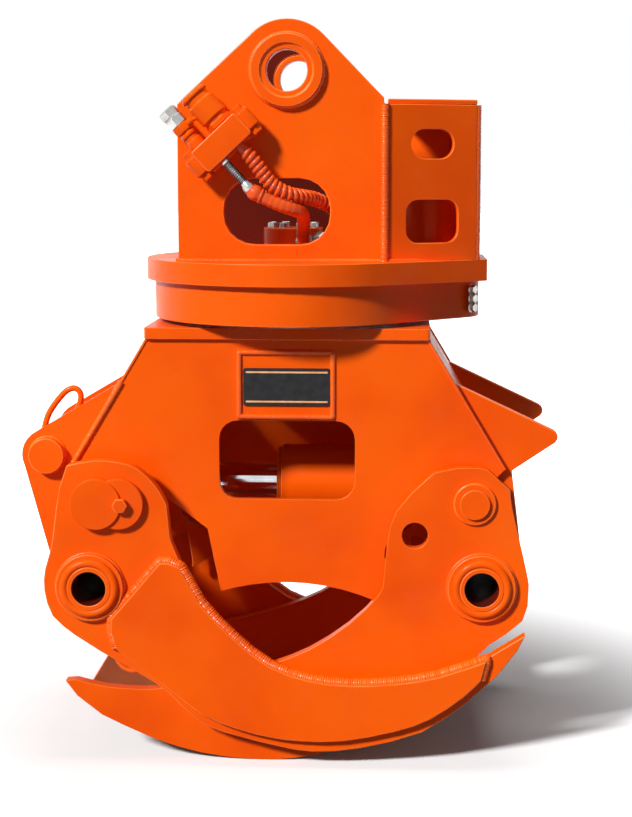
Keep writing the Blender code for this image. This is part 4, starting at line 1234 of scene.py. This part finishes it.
@dataclass
class LowerFrame:
    """Window-framed body with its wings, pivot pins, welds and the bare badge."""

    dresser: Dresser
    nodes: tuple[str, ...] = (
        "frame_top_plate", "frame_back_plate", "frame_left_side_plate", "frame_right_side_plate",
        "left_back_wing", "right_front_wing", "right_back_wing", "left_wing_pin")
    bead_width: float = 0.011
    thin_bead: float = 0.005
    badge_bead: float = 0.010
    pin_bead: float = 0.006
    top_corner: float = 0.223
    wide_level: float = 0.474
    wing_weld: tuple[float, float] = (0.34, 0.985)
    badge_frame: tuple[tuple[float, float], ...] = (
        (-0.076, 0.556), (0.073, 0.556), (0.073, 0.659), (-0.076, 0.659))
    cut_out: tuple[tuple[float, float], ...] = (
        (-0.2110, 0.4370), (-0.1280, 0.3730), (-0.1050, 0.2620), (-0.1000, 0.2000), (-0.1950, 0.2000),
        (-0.2030, 0.2886), (-0.2200, 0.3550), (-0.2480, 0.3960))
    loop: tuple[tuple[float, float, float], ...] = (
        (-0.400, -0.1290, 0.515), (-0.390, -0.1285, 0.552), (-0.366, -0.1285, 0.585),
        (-0.349, -0.1285, 0.595), (-0.338, -0.1285, 0.588), (-0.338, -0.1285, 0.572),
        (-0.350, -0.1285, 0.545))
    loop_radius: float = 0.0050
    bore_reach: float = 0.0300
    bore_facing: float = 0.5
    badge_edge: float = 0.0008
    line_height: float = 0.0028
    line_depth: float = 0.0008
    line_edge: float = 0.0003
    line_inset: float = 0.0065
    line_margin: float = 0.004

    def build(self) -> None:
        """Model and dress the lower frame."""
        for node in ("frame_front_plate", "left_front_wing"):
            self.cut_plate(node)
        for node in self.nodes:
            self.dresser.plate(node, Body.LOWER_FRAME)
        for node in ("left_pivot_pin", "right_pivot_pin"):
            pin, centre = self.dresser.plate(node, Body.LOWER_FRAME), middle(node)
            # Painted shade: the faces of each pivot pin's bore take the dark shade colour.
            self.dresser.shade_faces(pin, lambda face: abs(face.normal.y) < self.bore_facing and math.hypot(
                face.center.x - centre.x, face.center.z - centre.z) < self.bore_reach)
        self.frame_welds()
        run = spaced(smooth(self.loop), RUN_STEP)
        loop = swept("left_wing_loop", [run], self.loop_radius, resolution=4)
        self.dresser.put(loop, Body.LOWER_FRAME, self.dresser.finishes.enamel)
        self.badge()

    def cut_plate(self, node: str) -> None:
        """Dress a plate whose lower left corner is cut straight, as the photograph shows it.

        Args:
            node: The frame node.
        """
        plate = Bench.carried(node)
        low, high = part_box(node)
        deep = high.y - low.y
        bpy.ops.mesh.primitive_circle_add(vertices=len(self.cut_out), radius=1.0, fill_type="NGON")
        cutter = Bench.added("cut_out_cutter")
        for vertex, (x, z) in zip(cutter.data.vertices, self.cut_out):
            vertex.co = (x, low.y - deep / 2, z)
        Bench.edit(cutter)
        bpy.ops.mesh.extrude_region_move(TRANSFORM_OT_translate={"value": (0.0, 2 * deep, 0.0)})
        Bench.close()
        cut = plate.modifiers.new("corner_cut", "BOOLEAN")
        cut.operation, cut.solver, cut.object = "DIFFERENCE", "EXACT", cutter
        Bench.apply(plate)
        bpy.data.objects.remove(cutter)
        self.dresser.paint(plate, Body.LOWER_FRAME, instead=node)

    def frame_welds(self) -> None:
        """Weld the face plates to the top plate and to the wings, and frame the badge's place."""
        low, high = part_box("frame_front_plate")
        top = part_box("frame_top_plate")[0].z
        runs, edges, roots = [], [], []
        for face in (low.y, -low.y):
            runs.append([(-self.top_corner, face, top), (self.top_corner, face, top)])
            for hand in (-1, 1):
                upper = Vector((hand * self.top_corner, face, top))
                lower = Vector((hand * high.x, face, self.wide_level))
                edges.append([upper, lower])
                if hand < 0:
                    roots.append([upper.lerp(lower, share) for share in self.wing_weld])
        frame = [[(x, low.y, z) for x, z in self.badge_frame]]
        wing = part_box("left_front_wing")[0].y
        rings = [hoop("left_wing_pin", y) for y in (wing, -wing)]
        for name, beads, width, closed in (
                ("top_plate_welds", runs, self.thin_bead, False),
                ("slanted_edge_welds", edges, self.thin_bead, False),
                ("wing_root_welds", roots, self.bead_width, False),
                ("badge_frame_weld", frame, self.badge_bead, True),
                ("wing_pin_welds", rings, self.pin_bead, True)):
            self.dresser.weld(name, Body.LOWER_FRAME, beads, width, closed)

    def badge(self) -> None:
        """Model the bare badge: a satin black plate with two thin lines."""
        finishes = self.dresser.finishes
        plate = Bench.soften(Bench.carried("badge_plate"), self.badge_edge)
        self.dresser.put(plate, Body.LOWER_FRAME, finishes.badge, "badge_plate")
        low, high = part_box("badge_plate")
        size = (high.x - low.x - 2 * self.line_margin, self.line_depth, self.line_height)
        for name, z in (("upper", high.z - self.line_inset), ("lower", low.z + self.line_inset)):
            place = (middle("badge_plate").x, low.y, z)
            line = Bench.slab(f"badge_{name}_line", place, size, self.line_edge)
            self.dresser.put(line, Body.LOWER_FRAME, finishes.line)


@dataclass
class Jaw:
    """One crescent jaw: plates, bosses and the beads that join them."""

    dresser: Dresser
    name: str
    body: Body
    nodes: tuple[str, ...]
    bead_width: float = 0.010
    boss_bead: float = 0.007
    collar_ring: float = 0.0405
    collar_bead: float = 0.0070

    def build(self) -> None:
        """Model and dress the jaw."""
        for node in self.nodes:
            self.dresser.plate(node, self.body)
        self.boss_rings()

    def boss_rings(self) -> None:
        """Weld the bosses to the outer faces of the jaw's plates, and lay a raised ring on each boss."""
        seams, collars = [], []
        for outer, side in enumerate(("front", "back")):
            boss, plate = f"{self.name}_{side}_boss", f"{self.name}_{side}_plate"
            seams.append(hoop(boss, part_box(plate)[outer].y))
            collars.append(spaced(hoop(boss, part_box(boss)[outer].y, self.collar_ring), RUN_STEP, True))
        self.dresser.weld(self.name + "_boss_welds", self.body, seams, self.boss_bead, True)
        collar = swept(self.name + "_boss_collars", collars, self.collar_bead, True, 6)
        self.dresser.put(collar, self.body, self.dresser.finishes.enamel)


@dataclass
class OuterJaw(Jaw):
    """The left jaw, with cheeks welded on, a torque tube and a keyed cylinder pin."""

    name: str = "left_jaw"
    body: Body = Body.LEFT_JAW
    nodes: tuple[str, ...] = (
        "left_jaw_front_plate", "left_jaw_back_plate", "left_jaw_front_cheek", "left_jaw_back_cheek",
        "left_jaw_front_boss", "left_jaw_back_boss", "left_jaw_torque_tube", "left_cylinder_pin",
        "keeper_bolt")
    cheek_bead: float = 0.020
    seam_bead: float = 0.008
    facing_share: float = -0.30
    flag_radius: float = 0.0405
    flag_edge: float = 0.0015
    flag_discs: tuple[tuple[float, float], ...] = ((0.0, 0.0140), (0.035, 0.0100))

    def build(self) -> None:
        """Model and dress the outer jaw."""
        super().build()
        self.cheek_welds()
        self.pin_flag()
        rings = [hoop("left_jaw_torque_tube", corner.y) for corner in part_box("left_jaw_torque_tube")]
        self.dresser.weld("torque_tube_welds", self.body, rings, self.bead_width, True)

    def cheek_welds(self) -> None:
        """Weld each cheek to its plate, all the way round."""
        for side, inner in (("front", 1), ("back", 0)):
            node = f"left_jaw_{side}_cheek"
            upper, lower = self.split(Bench.rim(node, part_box(node)[inner].y))
            self.dresser.weld(f"{side}_cheek_weld", self.body, upper, self.cheek_bead)
            self.dresser.weld(f"{side}_cheek_seam", self.body, lower, self.seam_bead)

    def split(self, rim: list[Vector]) -> tuple[list[Run], list[Run]]:
        """Part a cheek's rim into the side that faces up and the side that faces down.

        Args:
            rim: The rim's points, in order.

        Returns:
            The runs that face up and those that face down.
        """
        ahead = [*rim[1:], rim[0]]
        area = sum(a.x * b.z - b.x * a.z for a, b in zip(rim, ahead))
        faces_up = [math.copysign(1.0, area) * (a.x - b.x) > self.facing_share * (b - a).length
                    for a, b in zip(rim, ahead)]
        turn = next(i for i in range(len(rim)) if faces_up[i] and not faces_up[i - 1])
        runs: tuple[list[Run], list[Run]] = ([], [])
        last = None
        for i in ((turn + step) % len(rim) for step in range(len(rim))):
            side = 0 if faces_up[i] else 1
            if side != last:
                runs[side].append([rim[i]])
            runs[side][-1].append(ahead[i])
            last = side
        return runs

    def pin_flag(self) -> None:
        """Model the flag on the cylinder pin's head: its disc, and the lobe that the keeper bolt holds."""
        face, pin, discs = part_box("pin_flag_head")[1].y, middle("left_cylinder_pin"), []
        for i, (offset, thick) in enumerate(self.flag_discs):
            profile = [(self.flag_radius, 0.0), (self.flag_radius, thick)]
            disc = Bench.stacked(f"flag_disc_{i}", profile, 56)
            discs.append(Bench.settle(disc, aimed((pin.x + offset, face, pin.z), (0.0, -1.0, 0.0))))
        flag = Bench.soften(Bench.joined("pin_flag", discs), self.flag_edge)
        self.dresser.put(flag, self.body, self.dresser.finishes.enamel, "pin_flag_head")


@dataclass
class InnerJaw(Jaw):
    """The right jaw, with a curved floor and plain cylinder-pin collars."""

    name: str = "right_jaw"
    body: Body = Body.RIGHT_JAW
    nodes: tuple[str, ...] = ("right_jaw_front_plate", "right_jaw_back_plate", "right_jaw_front_boss",
                              "right_jaw_back_boss", "right_cylinder_pin")
    collar_radius: float = 0.034
    collar_thick: float = 0.006
    collar_edge: float = 0.0012

    def build(self) -> None:
        """Model and dress the inner jaw."""
        super().build()
        self.dresser.plate("right_jaw_floor", self.body, finish=self.dresser.finishes.dusty)
        self.pin_collars()
        runs = [Bench.rim("right_jaw_floor", corner.y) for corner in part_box("right_jaw_floor")]
        self.dresser.weld("right_jaw_floor_welds", self.body, runs, self.bead_width, True)

    def pin_collars(self) -> None:
        """Model the collars welded round the cylinder pin."""
        centre, face = middle("right_cylinder_pin"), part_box("right_jaw_front_plate")[0].y
        wide, thick = self.collar_radius, self.collar_thick
        for name, out in (("front", -1.0), ("back", 1.0)):
            profile = [(wide, 0.0), (wide, thick * 0.7), (wide * 0.95, thick)]
            collar = Bench.stacked(name + "_pin_collar", profile, 48)
            Bench.settle(collar, aimed((centre.x, -out * face, centre.z), (0.0, out, 0.0)))
            self.dresser.paint(collar, self.body, self.collar_edge)


@dataclass
class JawCylinder:
    """Cylinder between the two jaws: barrel, gland, eyes and the chromed rod."""

    dresser: Dresser

    def build(self) -> None:
        """Dress the cylinder."""
        for node in ("barrel_eye", "barrel_tube", "barrel_gland"):
            self.dresser.plate(node, Body.BARREL)
        self.dresser.plate("rod_eye", Body.ROD)
        self.dresser.bare(["cylinder_rod"], self.dresser.finishes.chrome)


@dataclass
class Studio:
    """Floor, lamps, world and the camera at the photograph's angle."""

    eye: tuple[float, float, float] = (0.183, -2.709, 0.953)
    azimuth: float = math.radians(3.07)
    pitch: float = math.radians(6.24)
    focal: float = 71.53
    shift: float = -0.08
    floor_size: float = 60.0
    floor_seen: float = 0.98
    floor_bounce: float = 0.16
    floor_lift: float = 0.01
    floor_near: float = 0.48
    floor_far: float = 1.10
    world_light: float = 0.10
    sun_power: float = 4.4
    sun_spread: float = math.radians(8.0)
    sun_from: tuple[float, float, float] = (-0.72, -0.84, 0.76)
    box_power: float = 26.0
    box_width: float = 1.3
    box_place: tuple[float, float, float] = (0.1, -0.1, 3.2)

    def build(self) -> None:
        """Set the stage."""
        bpy.context.scene.view_settings.view_transform = "Standard"
        self.floor()
        self.world()
        self.lamps()
        self.camera()

    def floor(self) -> None:
        """Lay a wide floor: pale to the eye, darker for bounced light, and lit of itself far out."""
        Bench.clear()
        bpy.ops.mesh.primitive_plane_add(size=self.floor_size, location=(0.0, 0.0, CAD_BOX[0].z))
        floor = Bench.added("studio_floor")
        material = bpy.data.materials.new("pale_floor")
        sheet = NodeSheet(material)
        sheet.tree.nodes.clear()
        seen = sheet.seen()
        tone = sheet.add("MapRange", {"Value": seen, "To Min": self.floor_bounce,
                                      "To Max": self.floor_seen})
        diffuse = sheet.add("BsdfDiffuse", {"Color": tone.outputs["Result"]})
        place = sheet.add("TexCoord", {}).outputs["Object"]
        reach = sheet.add("VectorMath", {0: place}, operation="LENGTH")
        fade = sheet.add("MapRange", {"Value": reach.outputs["Value"], "From Min": self.floor_near,
                                      "From Max": self.floor_far, "To Min": self.floor_lift, "To Max": 1.0},
                         interpolation_type="SMOOTHSTEP")
        strength = sheet.add("Math", {0: seen, 1: fade.outputs["Result"]}, operation="MULTIPLY")
        lift = sheet.add("Emission", {"Strength": strength.outputs[0]})
        total = sheet.add("AddShader", {0: diffuse.outputs[0], 1: lift.outputs[0]})
        sheet.add("OutputMaterial", {"Surface": total.outputs[0]})
        floor.data.materials.append(material)

    def world(self) -> None:
        """Make a world that is white to the eye and lights softly."""
        world = bpy.data.worlds.new("studio")
        bpy.context.scene.world = world
        sheet = NodeSheet(world)
        strength = sheet.add("MapRange", {"Value": sheet.seen(), "To Min": self.world_light, "To Max": 1.0})
        sheet.feed(sheet.tree.nodes["Background"], {"Color": (1.0, 1.0, 1.0, 1.0),
                                                    "Strength": strength.outputs["Result"]})

    def lamps(self) -> None:
        """Hang the key lamp, a sun from the front left, and a wide soft lamp overhead."""
        aim = (-Vector(self.sun_from)).to_track_quat("-Z", "Y").to_euler()
        bpy.ops.object.light_add(type="SUN", rotation=aim)
        sun = bpy.context.view_layer.objects.active
        sun.name = "key_lamp"
        sun.data.energy = self.sun_power
        sun.data.angle = self.sun_spread
        bpy.ops.object.light_add(type="AREA", location=self.box_place)
        box = bpy.context.view_layer.objects.active
        box.name = "overhead_lamp"
        box.data.energy = self.box_power
        box.data.size = self.box_width

    def camera(self) -> None:
        """Set the camera that the photograph was fitted with."""
        turn = (math.pi / 2 - self.pitch, 0.0, self.azimuth)
        bpy.ops.object.camera_add(location=self.eye, rotation=turn)
        camera = bpy.context.view_layer.objects.active
        camera.data.lens = self.focal
        camera.data.shift_y = self.shift
        bpy.context.scene.camera = camera


def main() -> None:
    """Build every sub-assembly around the frame."""
    logging.basicConfig(level=logging.INFO, format="%(message)s")
    Studio().build()
    dresser = Dresser()
    for part in (Headstock, HosePack, LowerFrame, OuterJaw, InnerJaw, JawCylinder):
        part(dresser).build()
    dresser.bare(["inner_race", "race_cage", "ring_gear", "gear_spacer", "swivel_spool", "pinion_gear",
                  "pinion_shaft", "piston"], dresser.finishes.steel)


if __name__ == "__main__":
    main()
